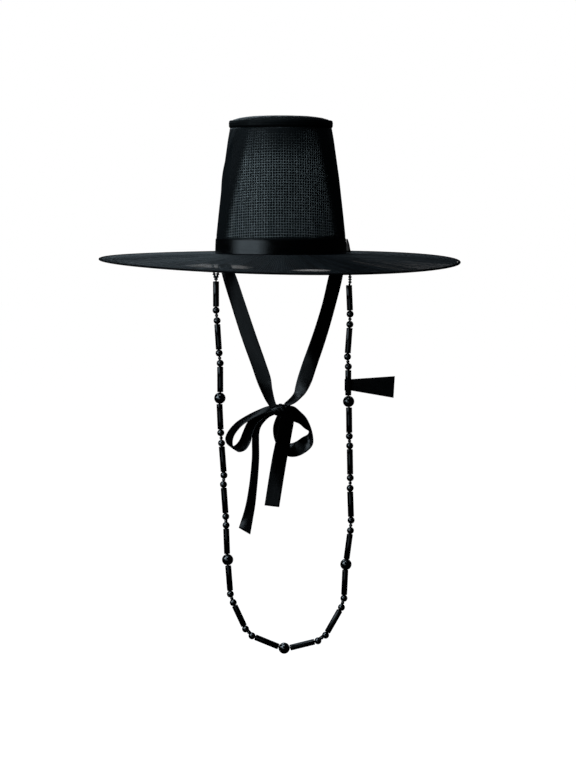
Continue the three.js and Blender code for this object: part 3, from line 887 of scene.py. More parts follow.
    def open_cells(self, bm: bmesh.types.BMesh) -> None:
        """Cuts the square opening out of every cell of a grid, which leaves its threads.

        Args:
            bm: The grid's mesh.
        """
        border = 0.5 * (1.0 - self.net_open) * self.net_pitch_up
        bmesh.ops.inset_individual(bm, faces=bm.faces[:], thickness=border, use_even_offset=True)
        cell = (self.net_pitch_up * self.net_open) ** 2
        holes = [face for face in bm.faces if face.calc_area() > 0.6 * cell]
        bmesh.ops.delete(bm, geom=holes, context="FACES")

    def dome_height(self, r: float) -> float:
        """Reads the section of the crown's top.

        Args:
            r: Radius in metres.

        Returns:
            The height in metres.
        """
        points = self.dome
        for a, b in zip(points, points[1:]):
            if r / MM <= b.r:
                return (a.z + (b.z - a.z) * (r / MM - a.r) / (b.r - a.r)) * MM
        return points[-2].z * MM

    def top(self) -> None:
        """Builds the sheer cloth over the crown's shallow domed top."""
        bm = bmesh.new()
        spin_section(bm, [(point.r * MM, point.z * MM - 0.5 * self.cloth) for point in self.dome])
        face_out(bm)
        lay_round_uv(bm, lambda co: math.hypot(co.x, co.y) - co.z, self.top_uv_radius)
        piece = to_piece("crown_top_cover", bm, self.finishes.crown_top)
        thicken(piece, self.cloth)
        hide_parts("crown_top")

    def top_net(self) -> None:
        """Builds the square net under the top's cloth."""
        radius = self.top_net_radius
        count = 2 * round(radius / self.net_pitch_round)
        bm = bmesh.new()
        bmesh.ops.create_grid(bm, x_segments=count, y_segments=count, size=radius)
        gone = [face for face in bm.faces if face.calc_center_median().length > radius - self.net_pitch_up]
        bmesh.ops.delete(bm, geom=gone, context="FACES")
        self.open_cells(bm)
        for vert in bm.verts:
            vert.co.z = self.dome_height(math.hypot(vert.co.x, vert.co.y)) - self.net_inset
        piece = to_piece("crown_top_net", bm, self.finishes.net, smooth=False)
        thicken(piece, self.net_thread)

    def lip(self) -> None:
        """Builds the wrapped lip: organza rolled over the crown's edge in three narrow turns."""
        points = []
        for i in range(self.lip_sides):
            turn = FULL_TURN * i / self.lip_sides
            z = self.lip_height + self.lip_half_height * math.sin(turn)
            ridge = self.ridge_depth * math.cos(FULL_TURN * z / self.lip_ridges)
            flat = math.copysign(abs(math.cos(turn)) ** self.lip_flatness, math.cos(turn))
            points.append((self.lip_radius + (self.lip_half_width + ridge) * flat, z))
        bm = bmesh.new()
        spin_section(bm, points, closed=True)
        lay_round_uv(bm, lambda co: co.z, self.lip_radius)
        piece = to_piece("crown_lip_roll", bm, self.finishes.hem)
        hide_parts("crown_lip")


# Brim

@dataclass(frozen=True)
class ThinPlace:
    """A lens-shaped place where the yarns are thin and light comes through, in millimetres and degrees."""

    x: float
    y: float
    half_width: float
    half_depth: float
    lean: float
    thinning: float

    def yarn_share(self, co: Vector) -> float:
        """Tells how thin the yarns are at a point.

        Args:
            co: A point of the flat brim, in metres.

        Returns:
            The share of its thickness that a yarn keeps there.
        """
        turn = math.radians(self.lean)
        away_x, away_y = co.x / MM - self.x, co.y / MM - self.y
        along = away_x * math.cos(turn) - away_y * math.sin(turn)
        across = away_x * math.sin(turn) + away_y * math.cos(turn)
        inside = 1.0 - (along / self.half_width) ** 2 - (across / self.half_depth) ** 2
        return 1.0 - self.thinning * max(0.0, inside)


@dataclass
class Brim:
    """The wide sheer brim on its bound wire, drooping at the front and a little twisted."""

    finishes: Finishes
    inner: float = 81.5 * MM
    edge: float = 225.6 * MM
    wire: float = 228.0 * MM
    foot: float = 0.0
    cloth: float = 0.3 * MM
    uv_radius: float = 150.0 * MM
    rings: int = 24
    ring_steps: int = 432
    ripples: tuple[Wave, ...] = (
        Wave(0.13 * MM, 23.0, 0.7),
        Wave(0.091 * MM, 41.0, 2.1),
        Wave(0.065 * MM, 67.0),
    )
    hoops: int = 92
    hoop_steps: int = 144
    spokes: int = 420
    spoke_cuts: int = 7
    yarn: float = 0.145 * MM
    yarn_lift: float = 0.2 * MM
    binding_half_width: float = 2.0 * MM
    binding_half_height: float = 1.15 * MM
    binding_swell: float = 0.18
    binding_sides: int = 16
    binding_steps: int = 240
    stitch_pitch: float = 3.0 * MM
    stitch_inset: float = 1.25 * MM
    stitch_rise: float = 1.02 * MM
    stitch_size: tuple[float, float, float] = (0.4 * MM, 1.9 * MM, 0.35 * MM)
    sideways: float = -1.5 * MM
    droop_mean: float = -8.7 * MM
    droop_roll: float = -1.9 * MM
    droop_pitch: float = 8.8 * MM
    droop_saddle: float = 1.8 * MM
    saddle_at: float = math.radians(26.0)
    thin_places: tuple[ThinPlace, ...] = (
        ThinPlace(x=-74.0, y=-172.0, half_width=56.0, half_depth=22.0, lean=24.0, thinning=0.66),
        ThinPlace(x=40.0, y=-197.0, half_width=30.0, half_depth=10.0, lean=-10.0, thinning=0.85),
    )

    def build(self) -> None:
        """Builds the sheet, its yarns, the bound edge and its stitches."""
        self.sheet()
        self.yarns()
        self.bound_edge()
        self.stitches()

    def rim_height(self, turn: float) -> float:
        """Returns the wire's height at an angle round from +X."""
        return (self.droop_mean + self.droop_roll * math.cos(turn) + self.droop_pitch * math.sin(turn)
                + self.droop_saddle * math.cos(2.0 * (turn - self.saddle_at)))

    def droop(self, co: Vector) -> Vector:
        """Bends the flat brim down at its front, with a little twist.

        Args:
            co: A point of the flat brim.

        Returns:
            Where the point goes.
        """
        turn = math.atan2(co.y, co.x)
        out = (math.hypot(co.x, co.y) - self.inner) / (self.wire - self.inner)
        height = self.foot + (self.rim_height(turn) - self.foot) * out
        return co + Vector((self.sideways * out, 0.0, height))

    def rippled(self, co: Vector) -> Vector:
        """Bends the flat cloth as the brim droops, with the small waves of stretched cloth.

        Args:
            co: A point of the flat cloth.

        Returns:
            Where the point goes.
        """
        turn = math.atan2(co.y, co.x)
        out = (math.hypot(co.x, co.y) - self.inner) / (self.edge - self.inner)
        pull = sum(wave.at(turn) for wave in self.ripples)
        lift = pull * math.sin(math.pi * min(max(out, 0.0), 1.0))
        return self.droop(co) + Vector((0.0, 0.0, lift))

    def sheet(self) -> None:
        """Builds the sheer cloth as one thin sheet."""
        span = self.edge - self.inner
        bm = bmesh.new()
        spin_section(bm, [(self.inner + span * i / self.rings, 0.0) for i in range(self.rings + 1)],
                     steps=self.ring_steps)
        lay_round_uv(bm, lambda co: math.hypot(co.x, co.y), self.uv_radius)
        for vert in bm.verts:
            vert.co = self.rippled(vert.co)
        bm.normal_update()
        face_out(bm)
        piece = to_piece("brim_sheet", bm, self.finishes.brim)
        thicken(piece, self.cloth)
        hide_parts("brim")

    def yarns(self) -> None:
        """Builds the cloth's stiff yarns, hoops and spokes, which close the brim to a low view.

        The real yarns lie 0.2 mm apart. These lie about 1.6 mm apart, the finest that a mesh can hold,
        and just above the sheet.
        """
        span = self.edge - self.inner
        half = self.yarn
        bm = bmesh.new()
        for i in range(self.hoops):
            radius = self.inner + span * (i + 0.5) / self.hoops
            section = ((radius + half, 0.0), (radius, half), (radius - half, 0.0), (radius, -half))
            corners = [bm.verts.new((r, 0.0, z)) for r, z in section]
            for a, b in zip(corners, corners[1:] + corners[:1]):
                bm.edges.new((a, b))
        bmesh.ops.spin(bm, geom=[*bm.verts, *bm.edges], cent=ORIGIN, axis=UP, angle=FULL_TURN,
                       steps=self.hoop_steps, use_merge=True)
        for vert in bm.verts:
            vert.co = self.thinned(vert.co)
        self.add_spokes(bm)
        bmesh.ops.recalc_face_normals(bm, faces=bm.faces)
        for vert in bm.verts:
            vert.co = self.rippled(vert.co) + Vector((0.0, 0.0, self.yarn_lift))
        piece = to_piece("brim_yarns", bm, self.finishes.yarn)
        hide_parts("brim")

    def add_spokes(self, bm: bmesh.types.BMesh) -> None:
        """Adds the spokes: one thin prism, repeated round the hat.

        Args:
            bm: The mesh to add to.
        """
        span = self.edge - self.inner
        middle = (0.5 * (self.inner + self.edge), 0.0, 0.0)
        place = Matrix.Translation(middle) @ Matrix.Rotation(math.pi / 2, 4, "Y")
        spokes = bmesh.new()
        bmesh.ops.create_cone(spokes, cap_ends=False, segments=4, radius1=self.yarn, radius2=self.yarn,
                              depth=span, matrix=place)
        long_edges = [edge for edge in spokes.edges if edge.calc_length() > 0.5 * span]
        bmesh.ops.subdivide_edges(spokes, edges=long_edges, cuts=self.spoke_cuts)
        bmesh.ops.spin(spokes, geom=[*spokes.verts, *spokes.edges, *spokes.faces], cent=ORIGIN, axis=UP,
                       angle=FULL_TURN * (self.spokes - 1) / self.spokes, steps=self.spokes - 1,
                       use_duplicate=True)
        mesh = bpy.data.meshes.new("spokes")
        spokes.to_mesh(mesh)
        spokes.free()
        bm.from_mesh(mesh)
        bpy.data.meshes.remove(mesh)

    def thinned(self, co: Vector) -> Vector:
        """Thins a flat hoop where it crosses a thin place.

        Args:
            co: A point of the hoop.

        Returns:
            The point, nearer to the hoop's middle in a thin place.
        """
        pitch = (self.edge - self.inner) / self.hoops
        far = math.hypot(co.x, co.y)
        middle = self.inner + pitch * (math.floor((far - self.inner) / pitch) + 0.5)
        share = min(place.yarn_share(co) for place in self.thin_places)
        reach = (middle + (far - middle) * share) / far
        return Vector((co.x * reach, co.y * reach, co.z * share))

    def bound_edge(self) -> None:
        """Builds the binding over the wire, a little thicker at its outer edge."""
        points = []
        for i in range(self.binding_sides):
            turn = FULL_TURN * i / self.binding_sides
            swell = 1.0 + self.binding_swell * math.cos(turn)
            points.append((self.wire + self.binding_half_width * math.cos(turn),
                           self.binding_half_height * swell * math.sin(turn)))
        bm = bmesh.new()
        spin_section(bm, points, closed=True, steps=self.binding_steps)
        for vert in bm.verts:
            vert.co = self.droop(vert.co)
        piece = to_piece("brim_binding", bm, self.finishes.binding)
        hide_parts("brim_edge")

    def stitches(self) -> None:
        """Builds the row of stitches that holds the binding, on its top near the cloth."""
        radius = self.wire - self.stitch_inset
        count = round(FULL_TURN * radius / self.stitch_pitch)
        bm = bmesh.new()
        for i in range(count):
            turn = FULL_TURN * i / count
            place = self.droop(Vector((radius * math.cos(turn), radius * math.sin(turn), self.stitch_rise)))
            shape = (Matrix.Translation(place) @ Matrix.Rotation(turn, 4, "Z")
                     @ Matrix.Diagonal((*self.stitch_size, 1.0)))
            bmesh.ops.create_cube(bm, size=1.0, matrix=shape)
        piece = to_piece("brim_stitches", bm, self.finishes.thread, smooth=False)


# Band

@dataclass
class Band:
    """The satin band round the crown's foot, with its free end at the camera's right.

    end_rows are the free end's outer edge from its top down, as X and Z in millimetres. end_across is the
    way from the band to that edge and round it: a share of the way out, and Y in millimetres.
    """

    finishes: Finishes
    low: float = -0.3 * MM
    width: float = 19.6 * MM
    gap: float = 0.5 * MM
    cloth: float = 0.4 * MM
    looseness: float = 0.12 * MM
    rows: int = 10
    end_rows: tuple[tuple[float, float], ...] = ((84.9, 18.9), (87.0, 12.4), (88.2, 6.1), (89.4, 1.4))
    end_foot: float = 83.3 * MM
    end_across: tuple[tuple[float, float], ...] = (
        (0.0, -11.0), (0.45, -5.0), (0.85, 1.5), (1.0, 5.0), (0.7, 9.0),
    )
    end_width: float = 20.0 * MM
    end_columns: int = 24
    end_lines: int = 12

    def build(self) -> None:
        """Builds the band and its end."""
        self.band()
        self.end()

    def slack(self, turn: float) -> float:
        """Returns how far the band stands off at an angle, where the ribbon is not pulled tight."""
        return self.looseness * (1.0 + math.sin(3.0 * turn + 0.5) * math.sin(5.0 * turn))

    def band(self) -> None:
        """Builds the band as one ribbon round the crown, a little loose along its middle."""
        bm = bmesh.new()
        heights = [self.low + self.width * i / self.rows for i in range(self.rows + 1)]
        spin_section(bm, [(crown_radius(z) + self.gap + 0.5 * self.cloth, z) for z in heights])
        for vert in bm.verts:
            turn = math.atan2(vert.co.y, vert.co.x)
            share = (vert.co.z - self.low) / self.width
            out = Vector((vert.co.x, vert.co.y, 0.0)).normalized()
            vert.co += out * self.slack(turn) * math.sin(math.pi * share)
        face_out(bm)
        lay_round_uv(bm, lambda co: co.z, crown_radius(0.0))
        self.swap_uv(bm)
        piece = to_piece("hat_band_ribbon", bm, self.finishes.satin)
        thicken(piece, self.cloth)
        true_rims(piece)
        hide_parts("hat_band")

    def swap_uv(self, bm: bmesh.types.BMesh) -> None:
        """Turns the map so that V runs along the ribbon, as its cross threads need."""
        layer = bm.loops.layers.uv["cloth"]
        for face in bm.faces:
            for loop in face.loops:
                u, v = loop[layer].uv
                loop[layer].uv = (v, u)

    def end(self) -> None:
        """Builds the ribbon's free end, a flap that stands off the band and turns back at its edge."""
        down_rows = [Vector((x, 0.0, z)) * MM for x, z in self.end_rows]
        across_rows = [Vector((out, y * MM, 0.0)) for out, y in self.end_across]
        bm = bmesh.new()
        bmesh.ops.create_grid(bm, x_segments=self.end_columns, y_segments=self.end_lines, size=0.5)
        lay_flat_uv(bm, lambda co: ((co.x + 0.5) * self.end_width, (co.y + 0.5) * self.width))
        for vert in bm.verts:
            edge = catmull(down_rows, 0.5 - vert.co.y)
            place = catmull(across_rows, vert.co.x + 0.5)
            vert.co = Vector((self.end_foot + (edge.x - self.end_foot) * place.x, place.y, edge.z))
        bm.normal_update()
        face_out(bm)
        piece = to_piece("hat_band_end", bm, self.finishes.thin_satin)
        thicken(piece, self.cloth)
        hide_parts("band_end")


# Ribbons

@dataclass(frozen=True)
class RibbonRow:
    """One place along a ribbon, in millimetres and degrees.

    x, y and z are the ribbon's middle. lean is its width's angle above +X, show is the width that the
    front view sees, and depth is how far the width runs back along Y, negative where the right edge
    is the nearer one.
    """

    x: float
    y: float
    z: float
    lean: float
    show: float
    depth: float

    def middle(self) -> Vector:
        """Returns the middle in metres."""
        return Vector((self.x, self.y, self.z)) * MM

    def half(self) -> Vector:
        """Returns half the width as a vector in metres."""
        turn = math.radians(self.lean)
        return Vector((self.show * math.cos(turn), self.depth, self.show * math.sin(turn))) * 0.5 * MM


CHIN_LEFT = (
    RibbonRow(-71.8, -29.0, 15.0, 0.0, 7.1, -17.6),
    RibbonRow(-71.9, -29.1, 1.0, 0.0, 7.1, -17.6),
    RibbonRow(-71.6, -30.0, -9.0, 10.0, 11.5, -15.0),
    RibbonRow(-65.7, -31.0, -26.0, 18.8, 16.4, -9.6),
    RibbonRow(-53.4, -31.0, -64.0, 17.8, 18.0, -6.0),
    RibbonRow(-41.0, -31.0, -102.0, 19.0, 18.7, -3.0),
    RibbonRow(-27.6, -31.0, -140.0, 18.8, 18.5, -4.4),
    RibbonRow(-21.3, -31.0, -159.0, 17.0, 18.1, -5.8),
    RibbonRow(-17.9, -31.0, -171.5, 16.0, 14.7, -7.5),
    RibbonRow(-13.4, -31.5, -184.2, 21.0, 11.2, -5.0),
    RibbonRow(-9.0, -32.5, -193.0, 23.0, 8.0, -3.0),
)
CHIN_RIGHT = (
    RibbonRow(71.8, -29.0, 15.0, 0.0, 7.1, 17.6),
    RibbonRow(71.9, -29.1, 1.0, 0.0, 7.1, 17.6),
    RibbonRow(73.4, -30.0, -9.0, -10.0, 13.5, 13.4),
    RibbonRow(69.6, -31.0, -26.0, -13.9, 17.4, 7.7),
    RibbonRow(60.5, -31.0, -64.0, -14.6, 17.1, 8.3),
    RibbonRow(49.3, -31.0, -102.0, -18.0, 18.0, 6.0),
    RibbonRow(36.2, -31.0, -140.0, -19.0, 18.8, -1.5),
    RibbonRow(29.9, -31.0, -159.0, -20.0, 18.4, -4.2),
    RibbonRow(24.9, -31.0, -171.5, -26.0, 15.0, -6.5),
    RibbonRow(21.3, -31.5, -177.9, -36.0, 10.9, -7.5),
    RibbonRow(15.4, -33.0, -184.2, -46.0, 8.6, -7.5),
    RibbonRow(5.5, -35.5, -190.5, -60.0, 5.0, -4.0),
)
LOOP_LEFT = (
    RibbonRow(-9.0, -33.5, -194.0, -63.0, 6.0, -9.0),
    RibbonRow(-15.5, -33.0, -195.6, -60.0, 7.0, -11.0),
    RibbonRow(-27.4, -32.0, -199.9, -48.0, 6.0, -15.0),
    RibbonRow(-40.6, -31.5, -206.4, -38.0, 6.2, -17.0),
    RibbonRow(-54.3, -31.0, -216.0, -26.0, 7.8, -17.2),
    RibbonRow(-64.1, -31.0, -229.0, -24.0, 9.2, -16.6),
    RibbonRow(-65.5, -31.0, -238.8, -33.0, 12.0, -14.6),
    RibbonRow(-60.5, -31.0, -245.9, -30.0, 14.6, -12.1),
    RibbonRow(-52.6, -31.0, -245.4, -17.0, 15.0, -11.5),
    RibbonRow(-46.0, -31.0, -237.6, -6.0, 14.4, -12.4),
    RibbonRow(-42.0, -31.0, -226.0, -6.0, 12.4, -14.4),
    RibbonRow(-35.6, -31.5, -212.4, -12.0, 11.6, -14.8),
    RibbonRow(-26.0, -32.0, -204.0, -32.0, 9.5, -13.5),
    RibbonRow(-17.0, -32.5, -199.9, -55.0, 6.6, -11.5),
    RibbonRow(-9.0, -33.0, -198.0, -62.0, 5.0, -9.0),
)
TAIL_LEFT = (
    RibbonRow(-9.5, -31.5, -200.8, -62.0, 4.0, -9.0),
    RibbonRow(-16.0, -30.5, -203.4, -52.0, 5.0, -11.5),
    RibbonRow(-22.8, -29.5, -208.6, -40.0, 6.6, -14.0),
    RibbonRow(-28.6, -29.0, -216.4, -24.0, 7.2, -16.2),
    RibbonRow(-31.6, -29.0, -225.0, -8.0, 8.4, -17.0),
    RibbonRow(-32.2, -29.0, -234.0, 0.0, 9.0, -16.7),
    RibbonRow(-32.1, -29.0, -255.5, -1.0, 9.2, -16.6),
    RibbonRow(-33.4, -29.0, -276.0, -4.0, 9.6, -16.4),
    RibbonRow(-35.5, -29.0, -296.3, -7.0, 10.3, -16.0),
    RibbonRow(-38.3, -29.0, -316.7, -9.0, 11.6, -15.0),
    RibbonRow(-41.5, -29.0, -332.1, -13.0, 13.0, -13.9),
    RibbonRow(-46.3, -29.0, -351.8, -26.0, 16.4, -9.6),
)
LOOP_RIGHT = (
    RibbonRow(8.0, -30.0, -197.5, -105.0, 14.0, 8.0),
    RibbonRow(14.2, -29.5, -201.4, -111.3, 18.5, 4.3),
    RibbonRow(20.3, -29.0, -205.3, -119.4, 16.1, 10.1),
    RibbonRow(27.6, -29.0, -210.6, -131.0, 12.6, 14.2),
    RibbonRow(33.6, -29.0, -218.6, -140.0, 8.6, 16.9),
    RibbonRow(37.9, -29.0, -226.6, -215.0, 6.0, 18.0),
    RibbonRow(37.4, -29.0, -234.2, -242.0, 13.0, 13.9),
    RibbonRow(30.4, -29.0, -240.6, -250.0, 18.5, 4.0),
    RibbonRow(19.8, -29.0, -246.8, -265.0, 18.9, 1.5),
    RibbonRow(9.9, -29.0, -247.6, -282.0, 15.6, 10.5),
    RibbonRow(1.8, -28.5, -241.4, -307.0, 12.5, 14.3),
    RibbonRow(-4.1, -28.0, -229.0, -338.0, 10.2, 16.0),
    RibbonRow(-5.0, -28.0, -217.0, -358.0, 9.0, 15.0),
    RibbonRow(-2.4, -29.0, -207.4, -370.0, 7.6, 11.0),
    RibbonRow(0.0, -30.0, -201.0, -374.0, 6.4, 8.0),
)
TAIL_RIGHT = (
    RibbonRow(8.9, -36.0, -196.0, -11.0, 13.0, 3.0),
    RibbonRow(8.5, -37.2, -201.5, -11.0, 15.5, 5.0),
    RibbonRow(7.5, -38.4, -210.0, -11.0, 18.0, 5.5),
    RibbonRow(5.0, -39.6, -224.0, -11.0, 18.4, 5.5),
    RibbonRow(1.9, -40.2, -240.2, -11.0, 18.6, 4.5),
    RibbonRow(-1.2, -40.2, -255.5, -10.5, 18.8, 3.0),
    RibbonRow(-4.7, -39.8, -275.9, -9.5, 18.9, 1.0),
    RibbonRow(-7.9, -39.0, -296.3, -9.0, 18.9, -1.0),
    RibbonRow(-11.4, -38.0, -318.8, -6.0, 18.8, -2.5),
)


@dataclass
class Ribbon:
    """One stretch of the satin ribbon."""

    name: str
    node: str
    rows: tuple[RibbonRow, ...]
    finishes: Finishes
    hold: Hold
    rests_on: str
    steps: int = 72
    across: int = 8
    cloth: float = 0.5 * MM
    cup: float = 0.35 * MM
    width: float = 19.0 * MM
    look: float = 0.01

    def build(self) -> None:
        """Builds the ribbon between its two smooth edges, cupped a little across its width."""
        left = [row.middle() - row.half() for row in self.rows]
        right = [row.middle() + row.half() for row in self.rows]
        length = sum((b.middle() - a.middle()).length for a, b in zip(self.rows, self.rows[1:]))
        bm = bmesh.new()
        bmesh.ops.create_grid(bm, x_segments=self.across, y_segments=self.steps, size=0.5)
        lay_flat_uv(bm, lambda co: ((co.x + 0.5) * self.width, (0.5 - co.y) * length))
        for vert in bm.verts:
            share, t = vert.co.x + 0.5, 0.5 - vert.co.y
            a, b = catmull(left, t), catmull(right, t)
            ahead = catmull(left, t + self.look) + catmull(right, t + self.look)
            behind = catmull(left, t - self.look) + catmull(right, t - self.look)
            face_way = (ahead - behind).cross(b - a).normalized()
            vert.co = a.lerp(b, share) + face_way * self.cup * (1.0 - (2.0 * share - 1.0) ** 2)
        bm.normal_update()
        piece = to_piece(self.name, bm, self.finishes.satin)
        thicken(piece, self.cloth)
        true_rims(piece)
        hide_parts(self.node)


@dataclass
class Bow:
    """The chin ribbons and the bow that they are tied in."""

    finishes: Finishes
    knot_place: Vector = field(default_factory=lambda: Vector((0.5, -33.0, -196.5)) * MM)
    knot_half: Vector = field(default_factory=lambda: Vector((15.0, 8.5, 8.0)) * MM)
    creases: tuple[float, ...] = (-0.52, 0.02, 0.5)
    crease_width: float = 0.09
    crease_share: float = 0.13
    crease_slant: float = 0.35

    def build(self) -> None:
        """Builds the chin ribbons, the loops, the tails and the knot."""
        stretches = (
            ("chin_ribbon_left_satin", "chin_ribbon_left", CHIN_LEFT, Hold.HUNG, "crown_cover"),
            ("chin_ribbon_right_satin", "chin_ribbon_right", CHIN_RIGHT, Hold.HUNG, "crown_cover"),
            ("bow_loop_left_satin", "bow_loop_left", LOOP_LEFT, Hold.FOLDED, "bow_knot_satin"),
            ("bow_tail_left_satin", "bow_tail_left", TAIL_LEFT, Hold.HUNG, "bow_knot_satin"),
            ("bow_loop_right_satin", "bow_loop_right", LOOP_RIGHT, Hold.FOLDED, "bow_knot_satin"),
            ("bow_tail_right_satin", "bow_tail_right", TAIL_RIGHT, Hold.HUNG, "bow_knot_satin"),
        )
        self.knot()
        for name, node, rows, hold, rests_on in stretches:
            Ribbon(name, node, rows, self.finishes, hold, rests_on).build()

    def knot(self) -> None:
        """Builds the knot: a pad of ribbon with creases where one turn lies over the next."""
        bm = bmesh.new()
        bmesh.ops.create_uvsphere(bm, u_segments=48, v_segments=32, radius=1.0,
                                  matrix=Matrix.Rotation(math.pi / 2, 4, "Y"))
        for vert in bm.verts:
            unit = vert.co.copy()
            across = unit.x + self.crease_slant * unit.z
            dent = sum(bell(across - crease, self.crease_width) for crease in self.creases)
            size = 1.0 - self.crease_share * dent * (1.0 - 0.5 * unit.x * unit.x)
            vert.co = self.knot_place + unit * self.knot_half * size
        lay_flat_uv(bm, lambda co: (co.x, co.z))
        bm.normal_update()
        piece = to_piece("bow_knot_satin", bm, self.finishes.satin)
        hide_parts("bow_knot")


# Beads

@dataclass(frozen=True)
class TubeBead:
    """A tube bead's middle, its lean from the vertical in degrees and its length, in millimetres."""

    x: float
    z: float
    lean: float
    length: float = 32.3

    def axis(self) -> Vector:
        """Returns the way down along the bead."""
        lean = math.radians(self.lean)
        return Vector((math.sin(lean), 0.0, -math.cos(lean)))

    def head(self) -> Vector:
        """Returns the middle of its upper end in metres."""
        return (Vector((self.x, 0.0, self.z)) - self.axis() * 0.5 * self.length) * MM

    def foot(self) -> Vector:
        """Returns the middle of its lower end in metres."""
        return (Vector((self.x, 0.0, self.z)) + self.axis() * 0.5 * self.length) * MM


TUBES = {
    Side.LEFT: (
        TubeBead(-82.7, -51.2, 0.0),
        TubeBead(-80.2, -105.9, 3.5),
        TubeBead(-77.6, -160.4, 0.0),
        TubeBead(-77.9, -208.2, 2.4),
        TubeBead(-74.6, -262.9, 4.1),
        TubeBead(-72.3, -316.2, 3.9),
        TubeBead(-69.8, -368.9, 1.9),
        TubeBead(-66.7, -416.7, 4.3),
        TubeBead(-53.6, -465.7, 24.7, 28.6),
        TubeBead(-18.2, -499.8, 67.6),
    ),
    Side.RIGHT: (
        TubeBead(87.4, -56.0, 2.3),
        TubeBead(86.5, -110.6, -4.0),
        TubeBead(86.1, -164.7, 0.0),
        TubeBead(87.3, -212.6, 0.8),
        TubeBead(88.5, -266.3, 1.0),
        TubeBead(89.4, -321.0, 1.9),
        TubeBead(86.5, -375.6, -7.6),
        TubeBead(82.0, -422.2, -2.5),
        TubeBead(67.7, -472.9, -29.4),
        TubeBead(27.5, -503.4, -76.0),
    ),
}


